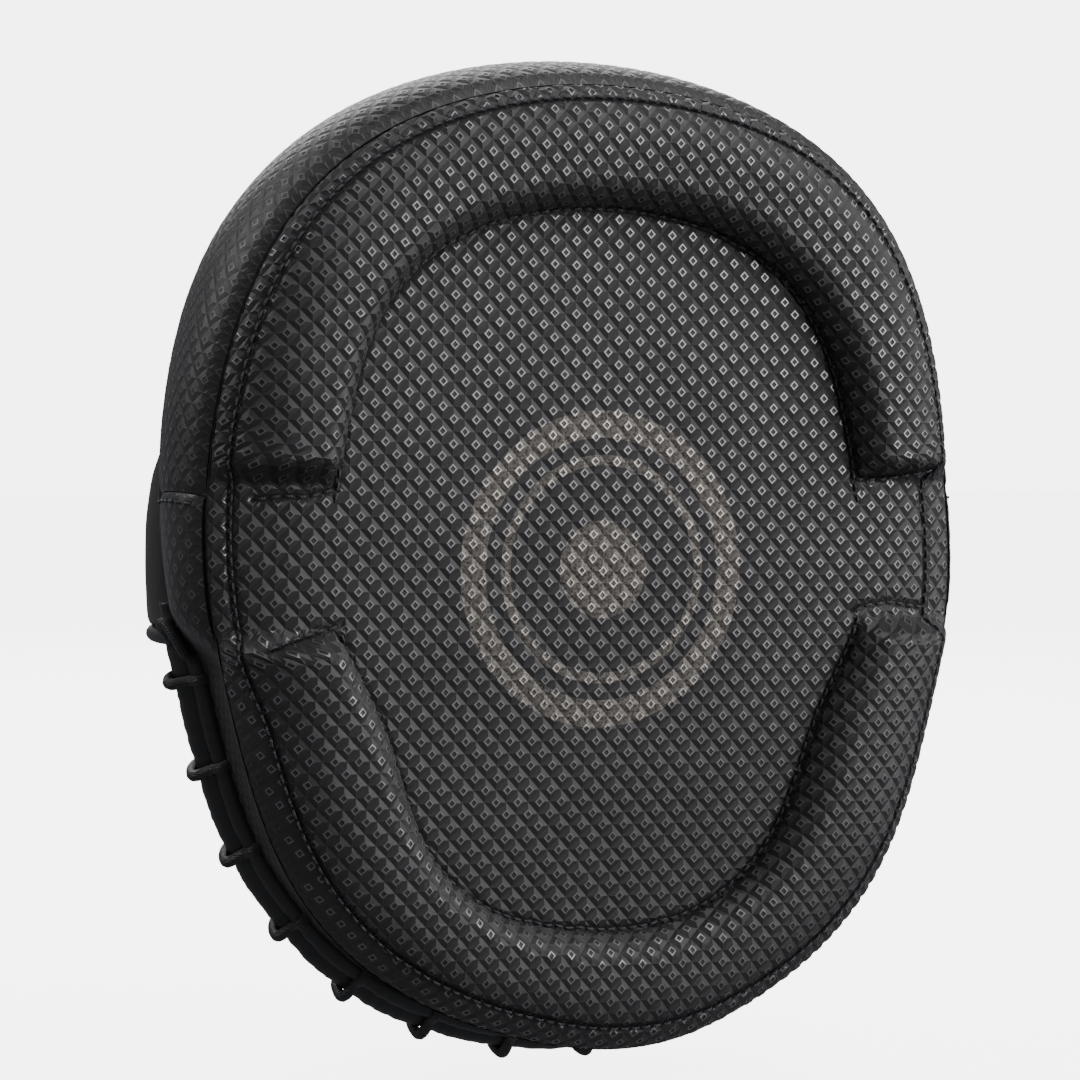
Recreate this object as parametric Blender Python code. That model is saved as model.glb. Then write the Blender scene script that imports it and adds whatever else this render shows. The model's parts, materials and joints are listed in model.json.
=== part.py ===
"""Focus mitt: a leather-covered striking pad worn on the left hand.

Frame: metres, +Z towards the finger end, -Y out of the striking face, +Y towards the
wearer. The origin is where the palm rests on the outer face of the back panel.
"""
import math

import bmesh
import bpy
import numpy as np
from mathutils import Matrix, Vector

# ---------------------------------------------------------------- driving dimensions
GAP = 0.0003                 # clearance between neighbouring pieces
LEATHER = 0.0016             # face cover and back panel
GUSSET_LEATHER = 0.0018      # side band

# radii of the two outlines at 22.5 degree steps, from +Z down to -Z (mirrored in X)
SEAM_RADII = (0.1270, 0.1283, 0.1252, 0.1135, 0.1060, 0.1054, 0.1128, 0.1159, 0.1178)
FOOT_RADII = (0.0960, 0.0968, 0.0915, 0.0807, 0.0775, 0.0715, 0.0778, 0.0875, 0.0880)

PAD_DEPTH = 0.0410           # recess centre to the outer face of the back panel
RECESS_DOME = 0.0033         # how far the recess falls back at DOME_REACH from its centre
DOME_REACH = 0.093
SEAM_SET_BACK = 0.0177       # seam depth behind the recess: SEAM_SET_BACK - SEAM_BOW r^2
SEAM_BOW = 1.01
RIM_HEIGHT = 0.0095          # crest of the raised rim above the recess
RIM_WALL = 0.26              # part of the rim's width taken by its inner wall
RIM_PUFF = 0.7               # below 1 the wall stands up steeper at the foot line
RIM_SHOULDER = 0.42          # where the crest starts to roll over to the seam
SHOULDER_TURN = 2.4          # how late and how sharply it then turns down
SHOULDER_FULL = 0.7
FACE_TURN = 2.2              # the same for the padding under the rim
CHANNEL_TOP = 0.0255         # the two side channels lie between these heights
CHANNEL_BOTTOM = -0.0095
CHANNEL_WALL = 0.0070
GUSSET_BULGE = 0.0056        # how far the side band stands out of the seam outline
LACED_BULGE = -0.0030        # the same beside the lacing, which draws the band in
BULGE_SKEW = 0.7             # below 1 the bulge lies nearer the face
LACED_START = 0.04           # minus the cosine of the angle where that begins
LACED_BLEND = 0.18
REAR_FLARE = 0.0045          # back edge outside the seam outline at the very top
REAR_PULL = -0.0035          # the same beside the lacing
PULL_END = -0.30             # cosine of the angle where the flare has gone
FLARE_CURVE = 1.3
REAR_TOE = 0.0050            # added to the pull at the very bottom
TOE_START = 0.70             # minus the cosine of the angle where that begins
SEAM_SKEW = 0.0040           # fuller lower corner on the little finger's side
FOOT_SKEW = 0.0020
SKEW_START = 70.0            # angles from +Z between which it lies, and its blend
SKEW_END = 195.0
SKEW_BLEND = 30.0
BACK_BEND = 0.0030           # forward bend of the back at BEND_REACH above the palm
BEND_REACH = 0.127

BACKING_SHEET = 0.0020       # layers from back to front
REAR_FOAM = 0.0080
CORE_FOAM = 0.0120
FOAM_EASE = 0.0029           # foam edge inside the gusset's outer face
LACING_ROOM = 0.0100         # room for the lace behind the side band

CROSS_SEAM = 77.8            # angle from +Z of the two side seams, in degrees
SEAM_GAP = 0.09              # half the gap between the two bands there, in degrees

WELT_RADIUS = 0.0030         # rolled edge under the lace
WELT_START = 92.5            # angle from +Z where it begins, in degrees
WELT_END = 0.25              # its thickness at its two ends, as a share of that
LACE_RADIUS = 0.0015
LACE_HOLE = 0.0021
LACE_CLEAR = 0.0005
BEHIND_BAND = 0.0048         # depth of the lace's run behind the side band's face
WHIPS = 14
WHIP_LEAN = 0.04             # slant of a whip over the welt, as a share of the pitch
LACING_START = 103.5         # angle from +Z of the first and last whip, in degrees
GUSSET_HOLE = 0.0102         # lace holes in the side band, in front of the back face
BACK_HOLE = 0.0064           # lace holes in the back panel, inside the seam outline
TAIL_STEP = 0.0060           # tail hole beyond the end whips
TAIL_RISE = 0.0100           # height of the lace's end loops

HOOD_CENTRE = 0.006          # finger hood
HOOD_HALF_WIDTH = 0.056
HOOD_OPEN = 0.014
HOOD_TOP = 0.110
HOOD_HEIGHT = 0.036
HOOD_COVER = 0.0015
HOOD_FOAM = 0.0045
HOOD_LINING = 0.0008
POCKET_ROUND = 3.2           # how square the closed end of a pocket is
POCKET_TAPER = 0.38          # how much lower a pocket gets towards that end

THUMB_MOUTH = (-0.0865, -0.011)
THUMB_TIP = (-0.0930, 0.046)
THUMB_HALF_WIDTH = 0.0165
THUMB_HEIGHT = 0.033
THUMB_TUCK = 30.0            # how far its sides turn back in under it, in degrees
THUMB_COVER = 0.0015
THUMB_FOAM = 0.0030

BALL_CENTRE = (0.006, -0.024)
BALL_RADIUS = 0.021
BALL_HEIGHT = 0.022
BALL_COVER = 0.0014

WRIST_LOW = -0.090           # wrist pad and strap
WRIST_HIGH = -0.052
WRIST_HALF_WIDTH = 0.036
WRIST_PAD_HEIGHT = 0.011
WRIST_COVER = 0.0013
CUFF_CENTRE_Y = 0.019        # centre and half axes of the inside of the cuff
CUFF_HALF_WIDTH = 0.042
CUFF_HALF_DEPTH = 0.034
CUFF_THICKNESS = 0.0030
LOOP_THICKNESS = 0.0012
HOOK_THICKNESS = 0.0010
STRAP_THICKNESS = 0.0020
STRAP_HALF_HEIGHT = 0.0155
STRAP_FOOT = 0.0045          # height of the strap's hinge line over the back panel
ANCHOR_THICKNESS = 0.0022
ANCHOR_WIDTH = 0.013
CUFF_SPAN = (180.0, 58.0)    # places along the oval, in degrees from +X
LOOP_SPAN = (132.0, 62.0)
STRAP_SPAN = (0.0, 128.0)
HOOK_SPAN = (72.0, 122.0)
CUFF_MARGIN = 0.002          # the cuff is wider than the strap, the patches narrower
PATCH_MARGIN = 0.003


# ---------------------------------------------------------------- small helpers
def clear_scene():
    for item in list(bpy.data.objects):
        bpy.data.objects.remove(item, do_unlink=True)


def material(name, color, roughness, metallic=0.0):
    made = bpy.data.materials.new(name)
    made.use_nodes = True
    shader = made.node_tree.nodes["Principled BSDF"]
    shader.inputs["Base Color"].default_value = (*color, 1.0)
    shader.inputs["Roughness"].default_value = roughness
    shader.inputs["Metallic"].default_value = metallic
    return made


def smoothstep(value):
    value = min(max(value, 0.0), 1.0)
    return value * value * (3.0 - 2.0 * value)


def mix(a, b, share):
    return a + (b - a) * share


def add_object(name, mesh, look):
    mesh.shade_smooth()
    mesh.set_sharp_from_angle(angle=math.radians(40))
    piece = bpy.data.objects.new(name, mesh)
    piece.data.materials.append(look)
    bpy.context.collection.objects.link(piece)
    return piece


def loft(name, sections, look, origin=(0.0, 0.0, 0.0)):
    """A closed solid through sections of equal length, with a flat cap at each end."""
    build = bmesh.new()
    rows = [[build.verts.new(Vector(point) - Vector(origin)) for point in section]
            for section in sections]
    for low, high in zip(rows, rows[1:]):
        for here in range(len(low)):
            after = (here + 1) % len(low)
            build.faces.new((low[here], low[after], high[after], high[here]))
    build.faces.new(rows[0])
    build.faces.new(rows[-1])
    bmesh.ops.recalc_face_normals(build, faces=build.faces)
    mesh = bpy.data.meshes.new(name)
    build.to_mesh(mesh)
    build.free()
    piece = add_object(name, mesh, look)
    piece.location = origin
    return piece


def cut(piece, cutter, name):
    cutter.hide_render = True
    cutter.display_type = 'WIRE'
    boolean = piece.modifiers.new(name, 'BOOLEAN')
    boolean.object = cutter
    boolean.operation = 'DIFFERENCE'
    boolean.solver = 'EXACT'


# ---------------------------------------------------------------- outlines and surfaces
def outline(radii, theta):
    """Radius at an angle from +Z: the cosine series through equally spaced radii."""
    last = len(radii) - 1
    total = 0.0
    for order in range(last + 1):
        weight = 0.0
        for index, radius in enumerate(radii):
            end = 0.5 if index in (0, last) else 1.0
            weight += end * radius * math.cos(order * index * math.pi / last)
        weight *= (1.0 if order in (0, last) else 2.0) / last
        total += weight * math.cos(order * theta)
    return total


def skew_share(theta):
    degrees = math.degrees(theta) % 360.0
    start = smoothstep((degrees - SKEW_START) / SKEW_BLEND)
    return start * smoothstep((SKEW_END - degrees) / SKEW_BLEND)


def seam_radius(theta):
    return outline(SEAM_RADII, theta) + SEAM_SKEW * skew_share(theta)


def foot_radius(theta):
    return outline(FOOT_RADII, theta) + FOOT_SKEW * skew_share(theta)


def polar(theta, radius, y):
    return Vector((radius * math.sin(theta), y, radius * math.cos(theta)))


def recess_y(z):
    return -PAD_DEPTH + RECESS_DOME * (z / DOME_REACH) ** 2


def seam_y(theta):
    return -PAD_DEPTH + SEAM_SET_BACK - SEAM_BOW * seam_radius(theta) ** 2


def back_y(z):
    return -BACK_BEND * (max(z, 0.0) / BEND_REACH) ** 2


def base_y(theta, across):
    """The face without its rim: recess inside the foot line, then down to the seam."""
    foot_z = foot_radius(theta) * math.cos(theta)
    return mix(recess_y(foot_z), seam_y(theta), max(across, 0.0) ** FACE_TURN)


def rim_share(theta, across):
    """How much of the rim's height stands at this place, 0 in the side channels."""
    z = mix(foot_radius(theta), seam_radius(theta), across) * math.cos(theta)
    upper = smoothstep((z - CHANNEL_TOP) / CHANNEL_WALL)
    lower = smoothstep((CHANNEL_BOTTOM - z) / CHANNEL_WALL)
    wall = (1.0 - (1.0 - min(across / RIM_WALL, 1.0)) ** 2) ** RIM_PUFF
    past = max(0.0, (across - RIM_SHOULDER) / (1.0 - RIM_SHOULDER))
    shoulder = max(0.0, 1.0 - past ** SHOULDER_TURN) ** SHOULDER_FULL
    return (upper + lower) * wall * shoulder


def face_point(theta, across):
    """Outer face; across is 0 at the rim's foot line and 1 at the seam, -1 at the centre."""
    if across <= 0.0:
        radius = foot_radius(theta) * (1.0 + across)
        return polar(theta, radius, recess_y(radius * math.cos(theta)))
    radius = mix(foot_radius(theta), seam_radius(theta), across)
    height = RIM_HEIGHT * rim_share(theta, across)
    return polar(theta, radius, base_y(theta, across) - height)


def under_face(theta, across, depth):
    """A point the given depth below the outer face, square to it."""
    step = 0.01
    here = face_point(theta, across)
    along = face_point(theta + step, across) - face_point(theta - step, across)
    ahead = min(across + step, 1.0 if across > 0.0 else 0.0)
    out = face_point(theta, ahead) - face_point(theta, across - step)
    inward = along.cross(out).normalized()
    if inward.y < 0.0:
        inward = -inward
    return here + inward * depth


def rear_edge_y(theta):
    return back_y(seam_radius(theta) * math.cos(theta))


def rear_radius(theta):
    """Radius of the pad's back edge."""
    upper = max(0.0, (math.cos(theta) - PULL_END) / (1.0 - PULL_END)) ** FLARE_CURVE
    bottom = smoothstep((-math.cos(theta) - TOE_START) / (1.0 - TOE_START))
    return seam_radius(theta) + mix(REAR_PULL, REAR_FLARE, upper) + REAR_TOE * bottom


def laced_share(theta):
    """1 beside the lacing and 0 on the rest of the side band."""
    return smoothstep((-math.cos(theta) - LACED_START) / LACED_BLEND)


def gusset_radius(theta, y):
    """Outer radius of the side band at a depth."""
    share = (y - seam_y(theta)) / (rear_edge_y(theta) - seam_y(theta))
    share = min(max(share, 0.0), 1.0)
    radius = mix(seam_radius(theta), rear_radius(theta), smoothstep(share))
    bulge = mix(GUSSET_BULGE, LACED_BULGE, laced_share(theta))
    return radius + bulge * math.sin(math.pi * share ** BULGE_SKEW)


def welt_radius(theta):
    """The rolled edge under the lace, thinner at its two ends."""
    return WELT_RADIUS * mix(WELT_END, 1.0, laced_share(theta))


def ring_angles(start=0.0, end=359.0):
    """Angles round the outline, closer together at the side channels, within a range."""
    half = list(np.linspace(0.0, 69.0, 9))
    half += [74.0, 78.0, 86.0, 94.0, 98.0]
    half += list(np.linspace(103.0, 180.0, 10))
    whole = half + [360.0 - angle for angle in reversed(half[1:-1])]
    whole = [angle - 360.0 for angle in whole] + whole
    return [math.radians(angle) for angle in sorted(whole) if start <= angle <= end]


ANGLES = ring_angles()
RIM_PLACES = (0.04, 0.13, 0.25, 0.42, 0.6, 0.75, 0.87, 0.95, 1.0)   # foot line to seam


# ---------------------------------------------------------------- striking pad
def make_face_cover(look):
    inside = (-0.9, -0.55, -0.2, 0.0)
    outer = [[face_point(theta, place) for theta in ANGLES] for place in inside + RIM_PLACES]
    inner = [[under_face(theta, place, LEATHER) for theta in ANGLES]
             for place in inside + RIM_PLACES[:-2]]
    edge = [[face_point(theta, 1.0) + polar(theta, -LEATHER, 0.0) for theta in ANGLES]]
    return loft("face_cover", outer + edge + inner[::-1], look)


def make_rim_foam(name, start, end, look):
    """A crescent of foam between the flat pad and the raised part of the face."""
    across = RIM_PLACES[1:-2]
    sections = []
    for theta in ring_angles(start, end):
        top = [under_face(theta, place, LEATHER + 2.0 * GAP) for place in across]
        floor = [polar(theta, mix(foot_radius(theta), seam_radius(theta), place),
                       base_y(theta, place) + LEATHER) for place in across[1:-1]]
        sections.append(top + floor[::-1])
    return loft(name, sections, look)


def layer_ring(depth, shrink=0.0, room=0.0):
    """A foam layer's edge at a distance in front of the back panel's outer face."""
    ring = []
    for theta in ANGLES:
        y = rear_edge_y(theta) - depth
        radius = gusset_radius(theta, y) - FOAM_EASE - shrink
        if room > 0.0:
            radius = rear_radius(theta) - room
        ring.append(polar(theta, radius, back_y(radius * math.cos(theta)) - depth))
    return ring


def flat_ring(depth, share):
    """A ring inside a layer, a share of the way out from the centre."""
    return [polar(theta, seam_radius(theta) * share,
                  back_y(seam_radius(theta) * share * math.cos(theta)) - depth)
            for theta in ANGLES]


def make_layer(name, rear, front, look, room=0.0):
    sections = [flat_ring(rear, 0.2), flat_ring(rear, 0.6), layer_ring(rear, room=room)]
    sections += [layer_ring(front, room=room), flat_ring(front, 0.6), flat_ring(front, 0.2)]
    return loft(name, sections, look)


def make_front_foam(rear, look):
    """The foam behind the face: domed in the recess, flat under the rim."""
    skin = LEATHER + GAP
    rings = [[under_face(theta, place, skin) for theta in ANGLES] for place in (-0.85, -0.4, 0.0)]
    for place in (RIM_PLACES[3], RIM_PLACES[5], RIM_PLACES[6]):
        rings.append([polar(theta, mix(foot_radius(theta), seam_radius(theta), place),
                            base_y(theta, place) + skin) for theta in ANGLES])
    rings.append([polar(theta, seam_radius(theta) - 1.6 * FOAM_EASE, seam_y(theta) + 2.0 * skin)
                  for theta in ANGLES])
    rings += [layer_ring(rear), flat_ring(rear, 0.6), flat_ring(rear, 0.2)]
    return loft("front_foam", rings, look)


def make_gusset(name, start, end, look):
    """Side band between the face seam and the back edge, from one cross seam to the other."""
    sections = []
    for degrees in np.linspace(start, end, 25):
        theta = math.radians(degrees)
        front = seam_y(theta) + GAP
        laced = math.cos(theta) < math.cos(math.radians(WELT_START))
        rear = rear_edge_y(theta) - (2.0 * welt_radius(theta) + 3.0 * GAP if laced else 0.0)
        outer = []
        inner = []
        for share in (0.0, 0.12, 0.3, 0.55, 0.8, 1.0):
            y = mix(front, rear, share)
            outer.append(polar(theta, gusset_radius(theta, y), y))
            inner.append(polar(theta, gusset_radius(theta, y) - GUSSET_LEATHER, y))
        sections.append(outer + inner[::-1])
    return loft(name, sections, look)


def make_back_panel(look):
    def ring(share, depth):
        points = []
        for theta in ANGLES:
            edge_room = max(welt_radius(theta), GUSSET_LEATHER) + GAP
            radius = (rear_radius(theta) - edge_room) * share
            points.append(polar(theta, radius, back_y(radius * math.cos(theta)) - depth))
        return points

    shares = (0.25, 0.5, 0.75, 1.0)
    rings = [ring(share, 0.0) for share in shares]
    rings += [ring(share, LEATHER) for share in reversed(shares)]
    return loft("back_panel", rings, look)


# ---------------------------------------------------------------- lacing
def lacing_angles():
    """Angles of the whips, equally spaced along the lower edge."""
    fine = np.radians(np.linspace(LACING_START, 360.0 - LACING_START, 400))
    points = [polar(theta, seam_radius(theta), 0.0) for theta in fine]
    steps = [(b - a).length for a, b in zip(points, points[1:])]
    along = np.concatenate([[0.0], np.cumsum(steps)])
    return list(np.interp(np.linspace(0.0, along[-1], WHIPS), along, fine))


def edge_point(theta, out, y):
    """A point beside the lower back edge: out from the edge, y from the back face."""
    return polar(theta, rear_radius(theta) + out, rear_edge_y(theta) + y)


def band_point(theta, clear, y):
    """A point outside the side band, clear of its outer face, y from the back face."""
    depth = rear_edge_y(theta) + y
    return polar(theta, gusset_radius(theta, depth) + clear, depth)


def whip_points(theta, pitch):
    """One turn of the lace: out of the side band, over the welt, in through the back."""
    turn = WELT_RADIUS + LACE_CLEAR + LACE_RADIUS
    lean = WHIP_LEAN * pitch
    return [
        band_point(theta, -0.55 * BEHIND_BAND, -GUSSET_HOLE),
        band_point(theta, LACE_RADIUS, -GUSSET_HOLE),
        band_point(theta, 1.9 * LACE_RADIUS, -0.74 * GUSSET_HOLE),
        edge_point(theta, turn + 0.0010, -WELT_RADIUS - 0.0007),
        edge_point(theta + lean, 0.80 * turn + 0.0004, 0.0003),
        edge_point(theta + lean, 0.20 * turn, turn - WELT_RADIUS + 0.0001),
        edge_point(theta + lean, -0.60 * turn, turn - WELT_RADIUS + 0.0001),
        edge_point(theta + lean, 0.0008 - BACK_HOLE, 1.35 * LACE_RADIUS),
        edge_point(theta + lean, -BACK_HOLE, 0.5 * LACE_RADIUS),
        edge_point(theta + lean, -BACK_HOLE, -2.6 * LACE_RADIUS),
        edge_point(theta + 0.35 * pitch, -BACK_HOLE, -4.6 * LACE_RADIUS),
        band_point(theta + 0.80 * pitch, -BEHIND_BAND, -GUSSET_HOLE),
    ]


def tail_points(theta, side):
    """An end of the lace: a small loop lying on the edge, then in through the side band."""
    step = side * TAIL_STEP / seam_radius(theta)
    rise = side * (TAIL_STEP + TAIL_RISE) / seam_radius(theta)
    on_band = LACE_RADIUS + 2.0 * LACE_CLEAR
    on_welt = WELT_RADIUS + LACE_CLEAR + LACE_RADIUS
    return [
        edge_point(theta + 0.60 * step, on_welt, -WELT_RADIUS),
        edge_point(theta + mix(step, rise, 0.45), on_welt, -WELT_RADIUS),
        band_point(theta + mix(step, rise, 0.9), on_band + LACE_RADIUS, -0.0060),
        band_point(theta + mix(step, rise, 0.9), on_band, -0.0088),
        band_point(theta + mix(step, rise, 0.45), on_band, -GUSSET_HOLE - 0.0008),
        band_point(theta + 1.25 * step, on_band, -GUSSET_HOLE),
        band_point(theta + step, 0.8 * LACE_RADIUS, -GUSSET_HOLE),
        band_point(theta + step, -0.55 * BEHIND_BAND, -GUSSET_HOLE),
        band_point(theta + 0.5 * step, -BEHIND_BAND, -GUSSET_HOLE),
    ]


def smooth_route(points, per_span):
    """Points along a Catmull-Rom curve through the given points."""
    route = []
    for index in range(len(points) - 1):
        before = points[max(index - 1, 0)]
        start = points[index]
        end = points[index + 1]
        after = points[min(index + 2, len(points) - 1)]
        for step in range(per_span):
            t = step / per_span
            route.append(0.5 * (2.0 * start + (end - before) * t
                                + (2.0 * before - 5.0 * start + 4.0 * end - after) * t ** 2
                                + (3.0 * start - before - 3.0 * end + after) * t ** 3))
    route.append(points[-1])
    return route


def tube(name, points, radius, look):
    curve = bpy.data.curves.new(name, 'CURVE')
    curve.dimensions = '3D'
    curve.bevel_depth = radius
    curve.bevel_resolution = 2
    curve.use_fill_caps = True
    spline = curve.splines.new('POLY')
    spline.points.add(len(points) - 1)
    for slot, point in zip(spline.points, points):
        slot.co = (*point, 1.0)
    curve.materials.append(look)
    piece = bpy.data.objects.new(name, curve)
    bpy.context.collection.objects.link(piece)
    return piece


def make_lace(whips, look):
    pitch = whips[1] - whips[0]
    points = tail_points(whips[0], -1.0)
    for theta in whips:
        points += whip_points(theta, pitch)
    points = points[:-2]
    points += tail_points(whips[-1], 1.0)[::-1]
    return tube("lace", smooth_route(points, 2), LACE_RADIUS, look)


def make_lacing_welt(look):
    sections = []
    for theta in np.radians(np.linspace(WELT_START, 360.0 - WELT_START, 43)):
        radius = welt_radius(theta)
        sections.append([edge_point(theta, radius * math.cos(turn),
                                    -radius + radius * math.sin(turn))
                         for turn in np.radians(np.arange(0.0, 360.0, 45.0))])
    return loft("lacing_welt", sections, look)


def make_hole_cutters(whips):
    """Two sets of round punches: through the side band, and through the back panel."""
    band = bmesh.new()
    panel = bmesh.new()
    step = TAIL_STEP / seam_radius(whips[0])
    for theta in [whips[0] - step] + whips + [whips[-1] + step]:
        centre = edge_point(theta, 0.0, -GUSSET_HOLE)
        turn = Matrix.Rotation(theta, 4, 'Y')
        bmesh.ops.create_cone(band, cap_ends=True, segments=10, radius1=LACE_HOLE,
                              radius2=LACE_HOLE, depth=0.020,
                              matrix=Matrix.Translation(centre) @ turn)
    for theta in whips:
        lean = WHIP_LEAN * (whips[1] - whips[0])
        centre = edge_point(theta + lean, -BACK_HOLE, 0.0)
        turn = Matrix.Rotation(math.pi / 2.0, 4, 'X')
        bmesh.ops.create_cone(panel, cap_ends=True, segments=10, radius1=LACE_HOLE,
                              radius2=LACE_HOLE, depth=0.010,
                              matrix=Matrix.Translation(centre) @ turn)
    cutters = []
    for name, build in (("band_punches", band), ("panel_punches", panel)):
        mesh = bpy.data.meshes.new(name)
        build.to_mesh(mesh)
        build.free()
        cutter = bpy.data.objects.new(name, mesh)
        bpy.context.collection.objects.link(cutter)
        cutters.append(cutter)
    return cutters


# ---------------------------------------------------------------- hand compartment
def arch_point(turn, tuck, width, rise):
    """Sideways place and height on a pocket's section, whose sides turn in by the tuck."""
    low = math.sin(math.radians(tuck))
    return width * math.cos(turn), rise * (math.sin(turn) + low) / (1.0 + low)


def arch_turns(tuck, count):
    return np.radians(np.linspace(-tuck, 180.0 + tuck, count))


def dome(name, origin, along, length, half_width, height, tuck, inset, overrun, look):
    """Half-round pocket lying on the back panel, closed at its far end.

    origin and along give the middle of its mouth and its direction in X and Z. inset
    shrinks it on all sides, and overrun runs it past the mouth and below the panel.
    """
    across = Vector((along[1], 0.0, -along[0]))
    forward = Vector((along[0], 0.0, along[1]))
    sections = []
    width = half_width - inset
    rise = height - inset
    reach = length - inset
    places = [(share, share * reach) for share in (0.0, 0.25, 0.5, 0.7, 0.84, 0.93, 0.98)]
    if overrun > 0.0:
        places.insert(0, (0.0, -overrun))
    for share, start in places:
        shape = (1.0 - share ** POCKET_ROUND) ** 0.5
        middle = Vector((origin[0], 0.0, origin[1])) + forward * start
        taper = 1.0 - POCKET_TAPER * share
        section = []
        for turn in arch_turns(tuck, 13):
            aside, lift = arch_point(turn, tuck, width * shape, rise * shape * taper)
            place = middle + across * aside
            section.append(Vector((place.x, back_y(place.z) + GAP + lift, place.z)))
        if overrun > 0.0:
            right = section[0] - Vector((0.0, 0.012, 0.0))
            left = section[-1] - Vector((0.0, 0.012, 0.0))
            section += [left, right]
        sections.append(section)
    return loft(name, sections, look)


def pocket_layer(name, shape, outside, thickness, look):
    """One layer of a pocket: a dome with a smaller dome cut out of it."""
    layer = dome(name, *shape, outside, 0.0, look)
    cutter = dome(name + "_cutter", *shape, outside + thickness, 0.006, look)
    cut(layer, cutter, "hollow")
    return layer


def pocket_binding(name, shape, total, look):
    """Flat strip that closes the layers of a pocket at its mouth."""
    origin, along, length, half_width, height, tuck = shape
    across = Vector((along[1], 0.0, -along[0]))
    forward = Vector((along[0], 0.0, along[1]))
    sections = []
    for turn in arch_turns(tuck, 19):
        section = []
        for back, inset in ((GAP, -0.0004), (GAP, total), (0.0024, total), (0.0024, -0.0004)):
            aside, lift = arch_point(turn, tuck, half_width - inset, height - inset)
            place = Vector((origin[0], 0.0, origin[1])) - forward * back + across * aside
            section.append(Vector((place.x, back_y(place.z) + GAP + lift, place.z)))
        sections.append(section)
    return loft(name, sections, look)


def direction(start, end):
    run = Vector(end) - Vector(start)
    return tuple(run.normalized()), run.length


def cushion(name, centre, half_width, half_height, rise, inset, below, look):
    """A low rounded cushion on the back panel, run on below it when it is a cutter."""
    rows = [(grow, GAP + (rise - inset) * lift)
            for lift, grow in ((0.0, 1.0), (0.45, 0.99), (0.75, 0.93), (0.93, 0.80), (1.0, 0.55))]
    if below > 0.0:
        rows.insert(0, (1.0, -below))
    sections = []
    for grow, y in rows:
        section = []
        for turn in np.radians(np.arange(0.0, 360.0, 18.0)):
            x = math.copysign(abs(math.cos(turn)) ** 0.6, math.cos(turn))
            z = math.copysign(abs(math.sin(turn)) ** 0.6, math.sin(turn))
            section.append(Vector((centre[0] + (half_width - inset) * grow * x, y,
                                   centre[1] + (half_height - inset) * grow * z)))
        sections.append(section)
    return loft(name, sections, look)


def make_cushion_pair(name, centre, half_width, half_height, rise, cover, looks):
    shell = cushion(name + "_cover", centre, half_width, half_height, rise, 0.0, 0.0, looks[0])
    hollow = cushion(name + "_hollow", centre, half_width, half_height, rise, cover, 0.004,
                     looks[0])
    cut(shell, hollow, "hollow")
    cushion(name + "_foam", centre, half_width, half_height, rise, cover + GAP, 0.0, looks[1])


def ball(name, radius, height, below, look):
    """A part of a ball standing on the back panel, run on below it when it is a cutter."""
    rows = [(radius * math.cos(angle), GAP + height * math.sin(angle))
            for angle in np.radians((0.0, 20.0, 40.0, 58.0, 74.0, 86.0))]
    if below > 0.0:
        rows.insert(0, (radius, -below))
    sections = []
    for ring, y in rows:
        sections.append([Vector((BALL_CENTRE[0] + ring * math.cos(turn), y,
                                 BALL_CENTRE[1] + ring * math.sin(turn)))
                         for turn in np.radians(np.arange(0.0, 360.0, 22.5))])
    return loft(name, sections, look)


def make_palm_ball(cover_look, core_look):
    shell = ball("palm_ball_cover", BALL_RADIUS, BALL_HEIGHT, 0.0, cover_look)
    hollow = ball("palm_ball_hollow", BALL_RADIUS - BALL_COVER, BALL_HEIGHT - BALL_COVER,
                  0.004, cover_look)
    cut(shell, hollow, "hollow")
    inset = BALL_COVER + GAP
    ball("palm_ball_core", BALL_RADIUS - inset, BALL_HEIGHT - inset, 0.0, core_look)


# ---------------------------------------------------------------- wrist cuff and strap
def cuff_point(degrees, offset):
    """A point on the cuff's oval, offset outwards; 0 is towards +X and 90 towards +Y."""
    turn = math.radians(degrees)
    return Vector(((CUFF_HALF_WIDTH + offset) * math.cos(turn),
                   CUFF_CENTRE_Y + (CUFF_HALF_DEPTH + offset) * math.sin(turn), 0.0))


def cuff_strip(name, start, end, low, high, half_height, look, foot=None, origin=None):
    """A curved strip round the wrist between two offsets; foot runs it down to a height."""
    middle = 0.5 * (WRIST_LOW + WRIST_HIGH)
    places = [(cuff_point(degrees, low), cuff_point(degrees, high))
              for degrees in np.linspace(start, end, 13)]
    if foot is not None:
        inner, outer = places[0]
        places.insert(0, (Vector((inner.x, foot, 0.0)), Vector((outer.x, foot, 0.0))))
    sections = []
    for inner, outer in places:
        sections.append([Vector((inner.x, inner.y, middle - half_height)),
                         Vector((outer.x, outer.y, middle - half_height)),
                         Vector((outer.x, outer.y, middle + half_height)),
                         Vector((inner.x, inner.y, middle + half_height))])
    return loft(name, sections, look, origin=origin or (0.0, 0.0, 0.0))


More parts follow.
